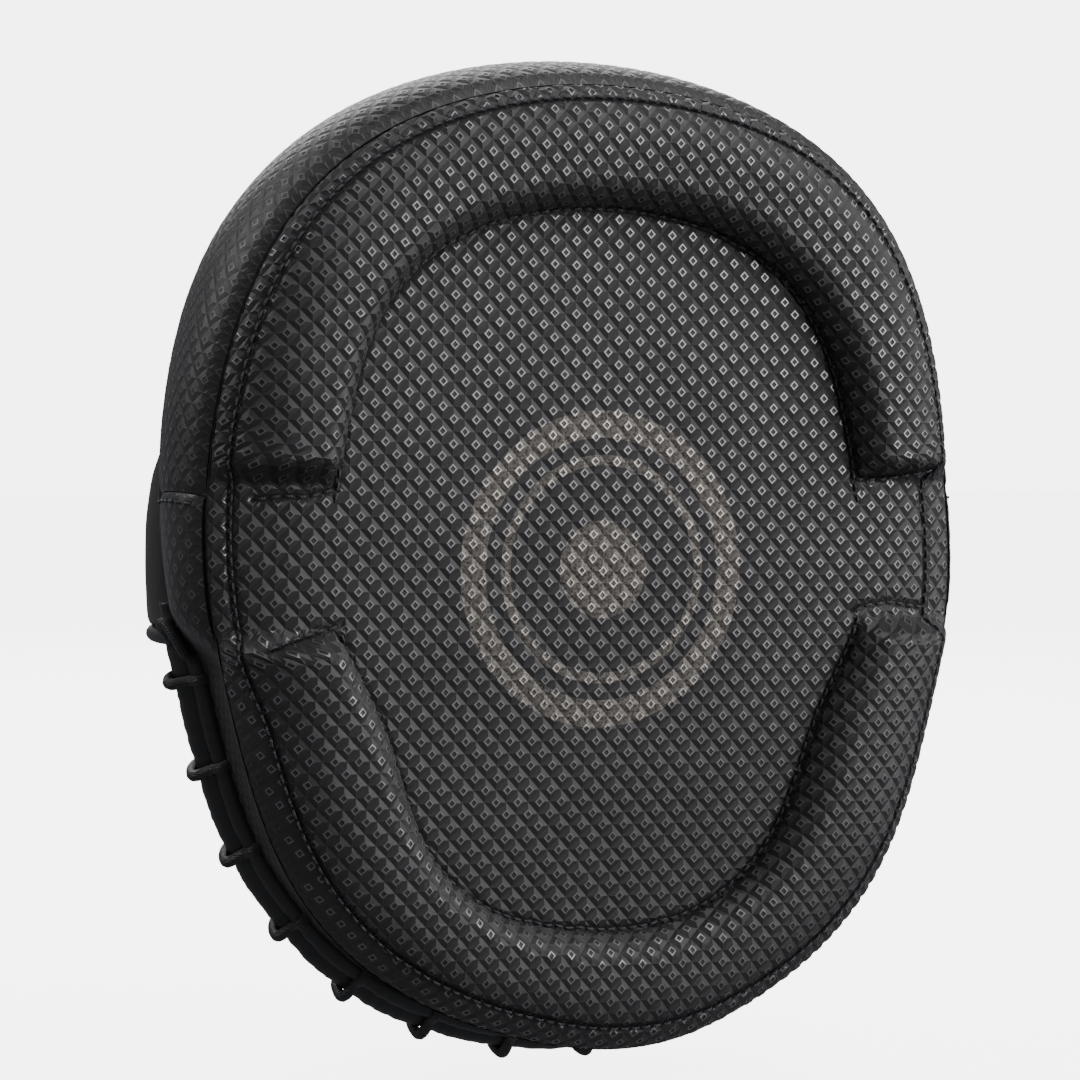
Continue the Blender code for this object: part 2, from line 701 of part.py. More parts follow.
def make_wrist(leather, hook, loop):
    loop_low = CUFF_THICKNESS + GAP
    hook_low = loop_low + LOOP_THICKNESS + GAP
    strap_low = hook_low + HOOK_THICKNESS + GAP
    strap_high = strap_low + STRAP_THICKNESS
    cuff_strip("cuff_band", *CUFF_SPAN, 0.0, CUFF_THICKNESS, STRAP_HALF_HEIGHT + CUFF_MARGIN,
               leather, foot=GAP)
    cuff_strip("cuff_loop_patch", *LOOP_SPAN, loop_low, loop_low + LOOP_THICKNESS,
               STRAP_HALF_HEIGHT - PATCH_MARGIN, loop)
    hinge_x = CUFF_HALF_WIDTH + 0.5 * (strap_low + strap_high)
    hinge = (hinge_x, STRAP_FOOT, 0.5 * (WRIST_LOW + WRIST_HIGH))
    strap = cuff_strip("wrist_strap", *STRAP_SPAN, strap_low, strap_high, STRAP_HALF_HEIGHT,
                       leather, foot=STRAP_FOOT, origin=hinge)
    patch = cuff_strip("strap_hook_patch", *HOOK_SPAN, hook_low, hook_low + HOOK_THICKNESS,
                       STRAP_HALF_HEIGHT - PATCH_MARGIN, hook, origin=hinge)
    patch.parent = strap
    patch.location = (0.0, 0.0, 0.0)
    x_low = hinge_x - 0.5 * ANCHOR_WIDTH
    x_high = hinge_x + 0.5 * ANCHOR_WIDTH
    middle = hinge[2]
    reach = STRAP_HALF_HEIGHT + PATCH_MARGIN
    outline_xz = [(x_low, middle - reach), (x_high, middle - reach),
                  (x_high, middle + reach), (x_low, middle + reach)]
    sections = [[Vector((x, y, z)) for x, z in outline_xz] for y in (GAP, ANCHOR_THICKNESS)]
    loft("strap_anchor", sections, leather)


# ---------------------------------------------------------------- the whole mitt
def main():
    clear_scene()
    face_leather = material("embossed_leather", (0.035, 0.033, 0.036), 0.42)
    smooth_leather = material("smooth_leather", (0.028, 0.027, 0.029), 0.45)
    edge_leather = material("edge_leather", (0.018, 0.018, 0.020), 0.40)
    lace_leather = material("lace_leather", (0.012, 0.012, 0.013), 0.50)
    soft_foam = material("soft_foam", (0.22, 0.22, 0.23), 0.95)
    firm_foam = material("firm_foam", (0.10, 0.10, 0.11), 0.90)
    board = material("dense_board", (0.06, 0.06, 0.06), 0.80)
    lining = material("lining_fabric", (0.05, 0.05, 0.055), 0.95)
    hook = material("hook_tape", (0.02, 0.02, 0.02), 0.80)
    loop = material("loop_tape", (0.03, 0.03, 0.03), 1.00)

    make_face_cover(face_leather)
    make_rim_foam("rim_foam_upper", -69.0, 69.0, soft_foam)
    make_rim_foam("rim_foam_lower", 103.0, 257.0, soft_foam)

    sheet_rear = LEATHER + GAP
    foam_rear = sheet_rear + BACKING_SHEET + GAP
    core_rear = foam_rear + REAR_FOAM + GAP
    front_rear = core_rear + CORE_FOAM + GAP
    make_layer("backing_sheet", sheet_rear, sheet_rear + BACKING_SHEET, board, LACING_ROOM)
    make_layer("rear_foam", foam_rear, foam_rear + REAR_FOAM, firm_foam, LACING_ROOM)
    make_layer("core_foam", core_rear, core_rear + CORE_FOAM, firm_foam)
    make_front_foam(front_rear, soft_foam)

    make_gusset("gusset_upper", -CROSS_SEAM, CROSS_SEAM, smooth_leather)
    lower = make_gusset("gusset_lower", CROSS_SEAM + SEAM_GAP, 360.0 - CROSS_SEAM - SEAM_GAP,
                        smooth_leather)
    panel = make_back_panel(smooth_leather)

    whips = lacing_angles()
    band_punches, panel_punches = make_hole_cutters(whips)
    cut(lower, band_punches, "lace_holes")
    cut(panel, panel_punches, "lace_holes")
    make_lacing_welt(edge_leather)
    make_lace(whips, lace_leather)

    hood_along, hood_length = direction((HOOD_CENTRE, HOOD_OPEN), (HOOD_CENTRE, HOOD_TOP))
    hood = ((HOOD_CENTRE, HOOD_OPEN), hood_along, hood_length, HOOD_HALF_WIDTH, HOOD_HEIGHT, 0.0)
    pocket_layer("finger_hood_cover", hood, 0.0, HOOD_COVER, smooth_leather)
    pocket_layer("finger_hood_foam", hood, HOOD_COVER + GAP, HOOD_FOAM, soft_foam)
    pocket_layer("finger_hood_lining", hood, HOOD_COVER + HOOD_FOAM + 2.0 * GAP, HOOD_LINING,
                 lining)
    hood_total = HOOD_COVER + HOOD_FOAM + HOOD_LINING + 2.0 * GAP
    pocket_binding("finger_hood_binding", hood, hood_total, edge_leather)

    thumb_along, thumb_length = direction(THUMB_MOUTH, THUMB_TIP)
    thumb = (THUMB_MOUTH, thumb_along, thumb_length, THUMB_HALF_WIDTH, THUMB_HEIGHT, THUMB_TUCK)
    pocket_layer("thumb_sleeve_cover", thumb, 0.0, THUMB_COVER, smooth_leather)
    pocket_layer("thumb_sleeve_foam", thumb, THUMB_COVER + GAP, THUMB_FOAM, soft_foam)
    pocket_binding("thumb_sleeve_binding", thumb, THUMB_COVER + THUMB_FOAM + GAP, edge_leather)

    make_palm_ball(smooth_leather, firm_foam)
    make_cushion_pair("wrist_pad", (0.0, 0.5 * (WRIST_LOW + WRIST_HIGH)), WRIST_HALF_WIDTH,
                      0.5 * (WRIST_HIGH - WRIST_LOW), WRIST_PAD_HEIGHT, WRIST_COVER,
                      (smooth_leather, soft_foam))
    make_wrist(smooth_leather, hook, loop)


main()
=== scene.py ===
"""Looks of the focus mitt: embossed leather, stitching, lacing and the padded hand compartment.

The part's frame, in metres: +Z towards the finger end, -Y out of the striking face, +Y towards the
wearer. Angles round the face start at +Z and turn towards +X.
"""
import json
import math
from collections import namedtuple

import bmesh
import bpy
import numpy as np
from mathutils import Matrix, Vector


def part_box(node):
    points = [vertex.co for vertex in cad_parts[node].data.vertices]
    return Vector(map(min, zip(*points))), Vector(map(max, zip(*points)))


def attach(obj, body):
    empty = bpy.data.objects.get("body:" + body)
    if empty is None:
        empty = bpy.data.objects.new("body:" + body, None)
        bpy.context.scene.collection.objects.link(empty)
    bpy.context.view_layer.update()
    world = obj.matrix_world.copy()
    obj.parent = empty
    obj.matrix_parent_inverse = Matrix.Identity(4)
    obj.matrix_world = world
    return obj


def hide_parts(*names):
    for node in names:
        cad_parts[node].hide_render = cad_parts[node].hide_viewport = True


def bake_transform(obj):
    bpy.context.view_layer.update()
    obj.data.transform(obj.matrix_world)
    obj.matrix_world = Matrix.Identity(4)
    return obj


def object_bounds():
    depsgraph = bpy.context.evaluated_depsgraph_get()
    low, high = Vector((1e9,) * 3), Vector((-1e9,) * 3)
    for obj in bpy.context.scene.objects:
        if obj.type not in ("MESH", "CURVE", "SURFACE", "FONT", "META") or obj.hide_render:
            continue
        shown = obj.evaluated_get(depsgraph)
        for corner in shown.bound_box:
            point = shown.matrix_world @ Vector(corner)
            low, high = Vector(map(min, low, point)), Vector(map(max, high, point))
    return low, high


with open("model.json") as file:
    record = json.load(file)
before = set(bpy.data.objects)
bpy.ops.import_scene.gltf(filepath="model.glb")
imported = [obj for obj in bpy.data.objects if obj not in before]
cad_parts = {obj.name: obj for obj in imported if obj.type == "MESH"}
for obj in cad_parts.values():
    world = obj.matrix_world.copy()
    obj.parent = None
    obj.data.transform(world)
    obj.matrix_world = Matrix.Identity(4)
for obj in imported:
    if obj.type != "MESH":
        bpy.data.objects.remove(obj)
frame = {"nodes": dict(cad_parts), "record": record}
cad_low, cad_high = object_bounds()

# ---- dimensions of the CAD part
GAP = 0.0003
SEAM_RADII = (0.1270, 0.1283, 0.1252, 0.1135, 0.1060, 0.1054, 0.1128, 0.1159, 0.1178)
FOOT_RADII = (0.0960, 0.0968, 0.0915, 0.0807, 0.0775, 0.0715, 0.0778, 0.0875, 0.0880)
SEAM_SKEW = 0.0040
FOOT_SKEW = 0.0020
SKEW_START = 70.0
SKEW_END = 195.0
SKEW_BLEND = 30.0
PAD_DEPTH = 0.0410
RECESS_DOME = 0.0033
DOME_REACH = 0.093
SEAM_SET_BACK = 0.0177
SEAM_BOW = 1.01
FACE_TURN = 2.2
RIM_HEIGHT = 0.0095
RIM_WALL = 0.26
RIM_PUFF = 0.7
RIM_SHOULDER = 0.42
SHOULDER_TURN = 2.4
SHOULDER_FULL = 0.7
CHANNEL_TOP = 0.0255
CHANNEL_BOTTOM = -0.0095
CHANNEL_WALL = 0.0070
GUSSET_BULGE = 0.0056
LACED_BULGE = -0.0030
BULGE_SKEW = 0.7
LACED_START = 0.04
LACED_BLEND = 0.18
REAR_FLARE = 0.0045
FLARE_CURVE = 1.3
REAR_PULL = -0.0035
PULL_END = -0.30
REAR_TOE = 0.0050
TOE_START = 0.70
BACK_BEND = 0.0030
BEND_REACH = 0.127
CROSS_SEAM = 77.8
WELT_RADIUS = 0.0030
WELT_START = 92.5
WELT_END = 0.25
LACE_RADIUS = 0.0015
LACE_CLEAR = 0.0005
BEHIND_BAND = 0.0048
WHIPS = 14
WHIP_LEAN = 0.04
LACING_START = 103.5
GUSSET_HOLE = 0.0102
BACK_HOLE = 0.0064
TAIL_STEP = 0.0060
TAIL_RISE = 0.0100
POCKET_ROUND = 3.2
POCKET_TAPER = 0.38
Pocket = namedtuple("Pocket", "mouth along length half_width height tuck")
HOOD = Pocket((0.006, 0.014), (0.0, 1.0), 0.096, 0.056, 0.036, 0.0)
THUMB_MOUTH = np.array((-0.0865, -0.011))
THUMB_RUN = np.array((-0.0930, 0.046)) - THUMB_MOUTH
THUMB_LENGTH = float(np.linalg.norm(THUMB_RUN))
THUMB = Pocket(tuple(THUMB_MOUTH), tuple(THUMB_RUN / THUMB_LENGTH), THUMB_LENGTH, 0.0165, 0.033, 30.0)
CUFF_CENTRE_Y = 0.019
CUFF_HALF_WIDTH = 0.042
CUFF_HALF_DEPTH = 0.034
CUFF_THICKNESS = 0.0030
CUFF_SPAN = (180.0, 58.0)    # places along the oval, in degrees from +X
STRAP_SPAN = (0.0, 128.0)
CUFF_MARGIN = 0.002          # the cuff is wider than the strap
STRAP_LOW = 0.0061           # strap's inner face outside the cuff's oval
STRAP_THICKNESS = 0.0020
STRAP_HALF_HEIGHT = 0.0155
STRAP_FOOT = 0.0045
WRIST_MIDDLE = -0.071
FULL_TURN = 2.0 * math.pi

# ---- surface detail
PITCH = 0.0062               # diagonal of one raised square
LATTICE_TURN = math.radians(-1.77)
LATTICE_SHIFT = (-0.208, -0.427)    # in diagonals
LATTICE_REACH = 86           # half diagonals to each side of the middle
FACE_OVERRUN = 0.0028        # squares past the seam that are still made, then pressed into it
STUD_HEIGHT = 0.00044
GUSSET_STUD = 0.00020
BAND_WIDTH = 0.040           # of the side band when flat
BORDER_FALL = 0.0012         # how fast the draw of a seam dies away
RING_SIDE = 0.34             # shares of the diagonal
RING_OUTER = 0.205
RING_INNER = 0.132
PIT_SHARE = 0.105
PIT_DEPTH = 0.00022
TOPSTITCH = 0.0058           # inside the outer seam
LOW_TOPSTITCH = 0.0100       # the same on the little finger's side and below
LOW_STITCH_SPAN = (25.0, 35.0, 266.0, 18.0)    # start, its blend, end, its blend, in degrees
CORNER_SPAN = (196.0, 22.0, 263.0, 14.0)       # flattened strip on the thumb's side, the same
CORNER_FLAT = 0.50
LINE_CLEAR = 0.0008          # no raised squares this near a stitch line
LINE_BLEND = 0.0012
STITCH_PITCH = 0.0031
STITCH_LENGTH = 0.0024
THREAD = 0.00036
THREAD_SHAPE = (             # along a stitch: place, lift and thickness, as shares of length and radius
    (0.0, -0.7, 0.55), (0.12, 0.35, 0.95), (0.5, 0.75, 1.0), (0.88, 0.35, 0.95), (1.0, -0.7, 0.55))
BACK_STITCH = 0.0105         # inside the back panel's edge
CLOTH_FRAMES = 20
CLOTH = (("quality", 6), ("mass", 0.25), ("tension_stiffness", 18.0), ("compression_stiffness", 18.0),
         ("shear_stiffness", 6.0), ("bending_stiffness", 0.8), ("use_pressure", True),
         ("vertex_group_mass", "held"))
MARK_PLACE = (0.001, 0.0, -0.004)
MARK_RINGS = ((0.0335, 0.0405), (0.0265, 0.0292), (-0.001, 0.0125))
CREASE_LIFT = 0.00016
CREASE_WIDTH = 0.0013
FOOT_GROOVE = 0.00055
TOP_GROOVE = 0.00050
GROOVE_WIDTH = 0.0011
FOLD_DEPTH = 0.0100          # fold beside the lacing, in front of the back face
CHANNEL_LINES = (            # stitched ends of the channel, as X and Z
    ((-0.0962, 0.0225), (-0.0950, 0.0225), (-0.0892, 0.0232), (-0.0835, 0.0229), (-0.0760, 0.0246)),
    ((-0.0950, -0.0142), (-0.0940, -0.0140), (-0.0890, -0.0125), (-0.0830, -0.0110), (-0.0745, -0.0088)),
    ((0.0745, 0.0268), (0.0830, 0.0270), (0.0930, 0.0284), (0.0985, 0.0295)),
    ((0.0745, -0.0084), (0.0790, -0.0068), (0.0865, -0.0061), (0.0970, -0.0077), (0.0985, -0.0079)))


# ---- helpers
def smoothstep(value):
    value = np.clip(value, 0.0, 1.0)
    return value * value * (3.0 - 2.0 * value)


def mix(a, b, share):
    return a + (b - a) * share


def window(theta, start, rise, end, fall):
    """1 between two angles in degrees, with soft ends."""
    degrees = np.degrees(theta) % 360.0
    return smoothstep((degrees - start) / rise) * smoothstep((end - degrees) / fall)


def distances(points):
    """How far along a line each of its points lies."""
    steps = np.linalg.norm(np.diff(points, axis=0), axis=1)
    return np.concatenate([[0.0], np.cumsum(steps)])


def series(radii):
    """Cosine weights of the mirrored outline through radii at equal angles from 0 to 180 degrees."""
    last = len(radii) - 1
    weights = []
    for order in range(last + 1):
        weight = 0.0
        for index, radius in enumerate(radii):
            end = 0.5 if index in (0, last) else 1.0
            weight += end * radius * math.cos(order * index * math.pi / last)
        weights.append(weight * (1.0 if order in (0, last) else 2.0) / last)
    return np.array(weights)


SEAM_SERIES = series(SEAM_RADII)
FOOT_SERIES = series(FOOT_RADII)


def outline(weights, theta):
    theta = np.asarray(theta, float)
    return np.cos(np.multiply.outer(theta, np.arange(len(weights)))) @ weights


def skew_share(theta):
    """1 along the lower corner on the little finger's side."""
    return window(theta, SKEW_START, SKEW_BLEND, SKEW_END, SKEW_BLEND)


def seam_radius(theta):
    return outline(SEAM_SERIES, theta) + SEAM_SKEW * skew_share(theta)


def foot_radius(theta):
    return outline(FOOT_SERIES, theta) + FOOT_SKEW * skew_share(theta)


def polar(theta, radius, y):
    theta, radius, y = np.broadcast_arrays(theta, radius, y)
    return np.stack([radius * np.sin(theta), y, radius * np.cos(theta)], axis=-1)


def recess_y(z):
    return -PAD_DEPTH + RECESS_DOME * (z / DOME_REACH) ** 2


def seam_y(theta):
    return -PAD_DEPTH + SEAM_SET_BACK - SEAM_BOW * seam_radius(theta) ** 2


def back_y(z):
    return -BACK_BEND * (np.maximum(z, 0.0) / BEND_REACH) ** 2


def face_y(theta, radius):
    """Depth of the face leather: recess, channel and rims out to the seam."""
    foot = foot_radius(theta)
    seam = seam_radius(theta)
    across = (radius - foot) / (seam - foot)
    out = np.clip(across, 0.0, None)
    z = radius * np.cos(theta)
    base = mix(recess_y(foot * np.cos(theta)), seam_y(theta), out ** FACE_TURN)
    raised = smoothstep((z - CHANNEL_TOP) / CHANNEL_WALL) + smoothstep((CHANNEL_BOTTOM - z) / CHANNEL_WALL)
    past = np.clip((out - RIM_SHOULDER) / (1.0 - RIM_SHOULDER), 0.0, 1.0)
    shoulder = np.clip(1.0 - past ** SHOULDER_TURN, 0.0, 1.0) ** SHOULDER_FULL
    wall = (1.0 - (1.0 - np.clip(out / RIM_WALL, 0.0, 1.0)) ** 2) ** RIM_PUFF
    rim = base - RIM_HEIGHT * raised * wall * shoulder
    return np.where(across <= 0.0, recess_y(z), rim)


def rear_edge_y(theta):
    return back_y(seam_radius(theta) * np.cos(theta))


def rear_radius(theta):
    upper = np.clip((np.cos(theta) - PULL_END) / (1.0 - PULL_END), 0.0, None) ** FLARE_CURVE
    bottom = smoothstep((-np.cos(theta) - TOE_START) / (1.0 - TOE_START))
    return seam_radius(theta) + mix(REAR_PULL, REAR_FLARE, upper) + REAR_TOE * bottom


def laced_share(theta):
    return smoothstep((-np.cos(theta) - LACED_START) / LACED_BLEND)


def gusset_radius(theta, y):
    share = np.clip((y - seam_y(theta)) / (rear_edge_y(theta) - seam_y(theta)), 0.0, 1.0)
    radius = mix(seam_radius(theta), rear_radius(theta), smoothstep(share))
    return radius + mix(GUSSET_BULGE, LACED_BULGE, laced_share(theta)) * np.sin(math.pi * share ** BULGE_SKEW)


def welt_radius(theta):
    return WELT_RADIUS * mix(WELT_END, 1.0, laced_share(theta))


def mesh_object(name, vertices, faces, look, smooth=True, painted_highlight=None, highlight_look=None):
    mesh = bpy.data.meshes.new(name)
    mesh.from_pydata([tuple(v) for v in vertices], [], [tuple(f) for f in faces])
    # Faces flagged here take the second, lighter material: a painted highlight.
    if painted_highlight is not None:
        mesh.polygons.foreach_set("material_index", [int(b) for b in painted_highlight])
    mesh.validate()
    if smooth:
        mesh.shade_smooth()
    piece = bpy.data.objects.new(name, mesh)
    mesh.materials.append(look)
    if highlight_look is not None:
        mesh.materials.append(highlight_look)
    bpy.context.scene.collection.objects.link(piece)
    return piece


def grid_faces(count, width, closed=True, caps=False, base=0):
    """Faces of a grid of count rows; closed joins the end of each row to its start."""
    faces = []
    last = base + (count - 1) * width
    for i in range(base, last, width):
        for j in range(width if closed else width - 1):
            after = (j + 1) % width
            faces.append((i + j, i + after, i + width + after, i + width + j))
    if caps:
        faces.append(tuple(range(base + width - 1, base - 1, -1)))
        faces.append(tuple(range(last, last + width)))
    return faces


def turn_outwards(piece, merge=False):
    """Turns the faces outwards; merge first joins what was pressed together at the borders."""
    build = bmesh.new()
    build.from_mesh(piece.data)
    if merge:
        bmesh.ops.remove_doubles(build, verts=build.verts, dist=0.00002)
        bmesh.ops.dissolve_degenerate(build, edges=build.edges, dist=0.00001)
    bmesh.ops.recalc_face_normals(build, faces=build.faces)
    build.to_mesh(piece.data)
    build.free()


def grid_object(name, rows, slot, closed=True, caps=False):
    """A surface through rows of points."""
    rows = np.asarray(rows)
    faces = grid_faces(*rows.shape[:2], closed, caps)
    piece = mesh_object(name, rows.reshape(-1, 3), faces, LOOKS[slot])
    turn_outwards(piece)
    return piece


def finish_piece(piece, replaces=(), body="pad"):
    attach(piece, body)
    if replaces:
        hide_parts(*replaces)


def skin(name, rows, slot, replaces=(), body="pad", closed=True, caps=False):
    """A finished piece from rows of points."""
    finish_piece(grid_object(name, rows, slot, closed, caps), replaces, body)


# ---- materials
def link(tree, source, target):
    tree.links.new(source, target)


def new_look(name):
    look = bpy.data.materials.new(name)
    look.use_nodes = True
    tree = look.node_tree
    return look, tree, tree.nodes["Principled BSDF"], tree.nodes.new("ShaderNodeTexCoord")


def put(node, **values):
    """Sets the sockets that stay constant."""
    for name, value in values.items():
        node.inputs[name].default_value = value


def texture(tree, place, kind, **values):
    """A texture node in object space."""
    node = tree.nodes.new("ShaderNodeTex" + kind)
    put(node, **values)
    link(tree, place.outputs["Object"], node.inputs["Vector"])
    return node


def noise(tree, place, scale, detail, roughness):
    return texture(tree, place, "Noise", Scale=scale, Detail=detail, Roughness=roughness).outputs["Fac"]


def ramp(tree, source, *stops):
    """Colours by value, from (position, colour) of each stop."""
    node = tree.nodes.new("ShaderNodeValToRGB")
    for element, (position, color) in zip(node.color_ramp.elements, stops):
        element.position = position
        element.color = (*color, 1.0)
    link(tree, source, node.inputs["Fac"])
    return node.outputs["Color"]


def spread(tree, source, low, high):
    """The range 0 to 1 stretched to low to high."""
    node = tree.nodes.new("ShaderNodeMapRange")
    put(node, **{"To Min": low, "To Max": high})
    link(tree, source, node.inputs["Value"])
    return node.outputs["Result"]


def calculate(tree, operation, first, second):
    """A math node on two values, of which the second may be a number."""
    node = tree.nodes.new("ShaderNodeMath")
    node.operation = operation
    link(tree, first, node.inputs[0])
    if isinstance(second, float):
        node.inputs[1].default_value = second
    else:
        link(tree, second, node.inputs[1])
    return node.outputs[0]


def dim(color, share):
    return tuple(share * part for part in color)


def bump(tree, shader, *layers):
    """Bump nodes in a chain, from (height, strength, distance) of each layer."""
    before = None
    for source, strength, distance in layers:
        node = tree.nodes.new("ShaderNodeBump")
        put(node, Strength=strength, Distance=distance)
        link(tree, source, node.inputs["Height"])
        if before is not None:
            link(tree, before.outputs["Normal"], node.inputs["Normal"])
        before = node
    link(tree, before.outputs["Normal"], shader.inputs["Normal"])


def leather(name, dark, light, roughness, grain=1500.0, depth=0.00012, strength=0.5):
    """Coated leather: cell grain, soft mottling and uneven gloss."""
    look, tree, shader, place = new_look(name)
    cells = texture(tree, place, "Voronoi", Scale=grain)
    cells.feature = 'DISTANCE_TO_EDGE'
    fine = noise(tree, place, grain * 2.2, 4.0, 0.65)
    broad = noise(tree, place, 38.0, 4.0, 0.6)
    link(tree, ramp(tree, broad, (0.30, dark), (0.72, light)), shader.inputs["Base Color"])
    link(tree, spread(tree, fine, roughness - 0.07, roughness + 0.09), shader.inputs["Roughness"])
    bump(tree, shader, (cells.outputs["Distance"], strength, depth), (fine, strength * 0.6, depth))
    return look


def ring_mask(tree, distance, low, high):
    """1 where the distance lies between two radii."""
    past = calculate(tree, 'GREATER_THAN', distance, low)
    return calculate(tree, 'MULTIPLY', past, calculate(tree, 'LESS_THAN', distance, high))


def face_look(name, dark, light, roughness, foil_dark, foil_light, shine=(0.0, 0.45)):
    """Embossed leather of the face with a plain ring mark in worn foil; shine is leather's and foil's."""
    look = leather(name, dark, light, roughness, 1700.0, 0.00010, 0.4)
    tree = look.node_tree
    shader = tree.nodes["Principled BSDF"]
    place = next(n for n in tree.nodes if n.type == 'TEX_COORD')
    centre = tree.nodes.new("ShaderNodeMapping")
    put(centre, Location=MARK_PLACE, Scale=(1.0, 0.0, 1.0))
    link(tree, place.outputs["Object"], centre.inputs["Vector"])
    length = tree.nodes.new("ShaderNodeVectorMath")
    length.operation = 'LENGTH'
    link(tree, centre.outputs["Vector"], length.inputs[0])
    rings = [ring_mask(tree, length.outputs["Value"], low, high) for low, high in MARK_RINGS]
    mark = rings[0]
    for ring in rings[1:]:
        mark = calculate(tree, 'MAXIMUM', mark, ring)
    worn = noise(tree, place, 1300.0, 5.0, 0.75)
    speckle = ramp(tree, worn, (0.40, (0.0,) * 3), (0.50, (1.0,) * 3))
    cover = calculate(tree, 'MULTIPLY', mark, speckle)
    base = shader.inputs["Base Color"].links[0].from_socket
    tint = tree.nodes.new("ShaderNodeMix")
    tint.data_type = 'RGBA'
    link(tree, cover, tint.inputs["Factor"])
    link(tree, base, tint.inputs["A"])
    link(tree, ramp(tree, worn, (0.35, foil_dark), (0.65, foil_light)), tint.inputs["B"])
    link(tree, tint.outputs["Result"], shader.inputs["Base Color"])
    link(tree, spread(tree, cover, *shine), shader.inputs["Metallic"])
    return look


def thread_look(name, color):
    """Twisted, waxed thread."""
    look, tree, shader, place = new_look(name)
    strands = texture(tree, place, "Wave", Scale=900.0, Distortion=1.5)
    strands.bands_direction = 'DIAGONAL'
    strands = strands.outputs["Fac"]
    link(tree, ramp(tree, strands, (0.0, dim(color, 0.5)), (1.0, color)), shader.inputs["Base Color"])
    put(shader, Roughness=0.48)
    bump(tree, shader, (strands, 0.6, 0.0002))
    return look


def foam_look(name, color):
    """Matt foam with fine pores."""
    look, tree, shader, place = new_look(name)
    pores = texture(tree, place, "Voronoi", Scale=900.0).outputs["Distance"]
    link(tree, ramp(tree, pores, (0.1, dim(color, 0.7)), (0.6, color)), shader.inputs["Base Color"])
    put(shader, Roughness=0.95)
    bump(tree, shader, (pores, 0.5, 0.0003))
    return look


def fabric_look(name, color, scale, depth):
    """Woven or looped fabric."""
    look, tree, shader, place = new_look(name)
    waves = []
    for direction in ('Z', 'X'):
        wave = texture(tree, place, "Wave", Scale=scale, Distortion=0.8)
        wave.bands_direction = direction
        waves.append(wave.outputs["Fac"])
    weave = calculate(tree, 'MULTIPLY', *waves)
    fuzz = noise(tree, place, scale * 6.0, 4.0, 0.7)
    link(tree, ramp(tree, fuzz, (0.3, dim(color, 0.6)), (0.7, color)), shader.inputs["Base Color"])
    put(shader, Roughness=0.92)
    bump(tree, shader, (weave, 0.7, depth), (fuzz, 0.6, depth))
    return look


LOOKS = {
    "face_leather": face_look("face_leather_look", (0.0190, 0.0168, 0.0185), (0.0310, 0.0278, 0.0300), 0.50,
                              (0.085, 0.077, 0.070), (0.200, 0.182, 0.162)),
    "side_leather": leather("side_leather_look", (0.016, 0.015, 0.016), (0.028, 0.026, 0.028), 0.46),
    "smooth_leather": leather("smooth_leather_look", (0.017, 0.016, 0.017), (0.030, 0.028, 0.029), 0.42,
                              1100.0, 0.00018, 0.6),
    "edge_leather": leather("edge_leather_look", (0.010, 0.010, 0.011), (0.018, 0.018, 0.019), 0.42,
                            1300.0, 0.00015, 0.6),
    "strap_leather": leather("strap_leather_look", (0.016, 0.015, 0.016), (0.028, 0.027, 0.028), 0.44,
                             1200.0, 0.00016, 0.6),
    "lace_leather": thread_look("lace_look", (0.026, 0.026, 0.028)),
    "soft_foam": foam_look("soft_foam_look", (0.22, 0.22, 0.23)),
    "firm_foam": foam_look("firm_foam_look", (0.10, 0.10, 0.11)),
    "dense_board": foam_look("dense_board_look", (0.06, 0.06, 0.06)),
    "lining": fabric_look("lining_look", (0.05, 0.05, 0.055), 500.0, 0.0004),
    "hook_tape": fabric_look("hook_look", (0.030, 0.030, 0.030), 420.0, 0.0007),
    "loop_tape": fabric_look("loop_look", (0.045, 0.045, 0.045), 700.0, 0.0008),
}
# Painted highlight: a lighter, more metallic copy of the face leather and its foil, for the rings on top of
# the raised squares.
RING_HIGHLIGHT_LOOK = face_look("face_ring_painted_highlight_look", (0.165, 0.161, 0.166), (0.240, 0.235, 0.241), 0.32,
                      (0.34, 0.31, 0.28), (0.68, 0.62, 0.56), (0.68, 0.55))
# Painted highlight: lighter leather for the rings on the side band's raised squares.
BAND_RING_HIGHLIGHT_LOOK = leather("band_ring_painted_highlight_look", (0.070, 0.069, 0.073), (0.110, 0.108, 0.114), 0.34)
# Painted shade: near-black leather for the strips laid over the stitched grooves.
CREASE_SHADE_LOOK = leather("crease_painted_shade_look", (0.0030, 0.0030, 0.0032), (0.0060, 0.0060, 0.0064), 0.62)
THREAD_LOOK = thread_look("thread_look", (0.060, 0.066, 0.074))


# ---- flattened face
THETAS = np.linspace(0.0, FULL_TURN, 721)
SHARES = 1.0 - (1.0 - np.linspace(0.0, 1.0, 220)) ** 1.7
FACE_RADII = np.multiply.outer(seam_radius(THETAS), SHARES)
FACE_DEPTHS = face_y(THETAS[:, None] + 0.0 * FACE_RADII, FACE_RADII)
FACE_STEPS = np.hypot(np.diff(FACE_RADII, axis=1), np.diff(FACE_DEPTHS, axis=1))
FACE_ARCS = np.concatenate([np.zeros((len(THETAS), 1)), np.cumsum(FACE_STEPS, axis=1)], axis=1)
FOOT_ARCS = np.array([np.interp(foot_radius(t), r, s) for t, r, s in zip(THETAS, FACE_RADII, FACE_ARCS)])


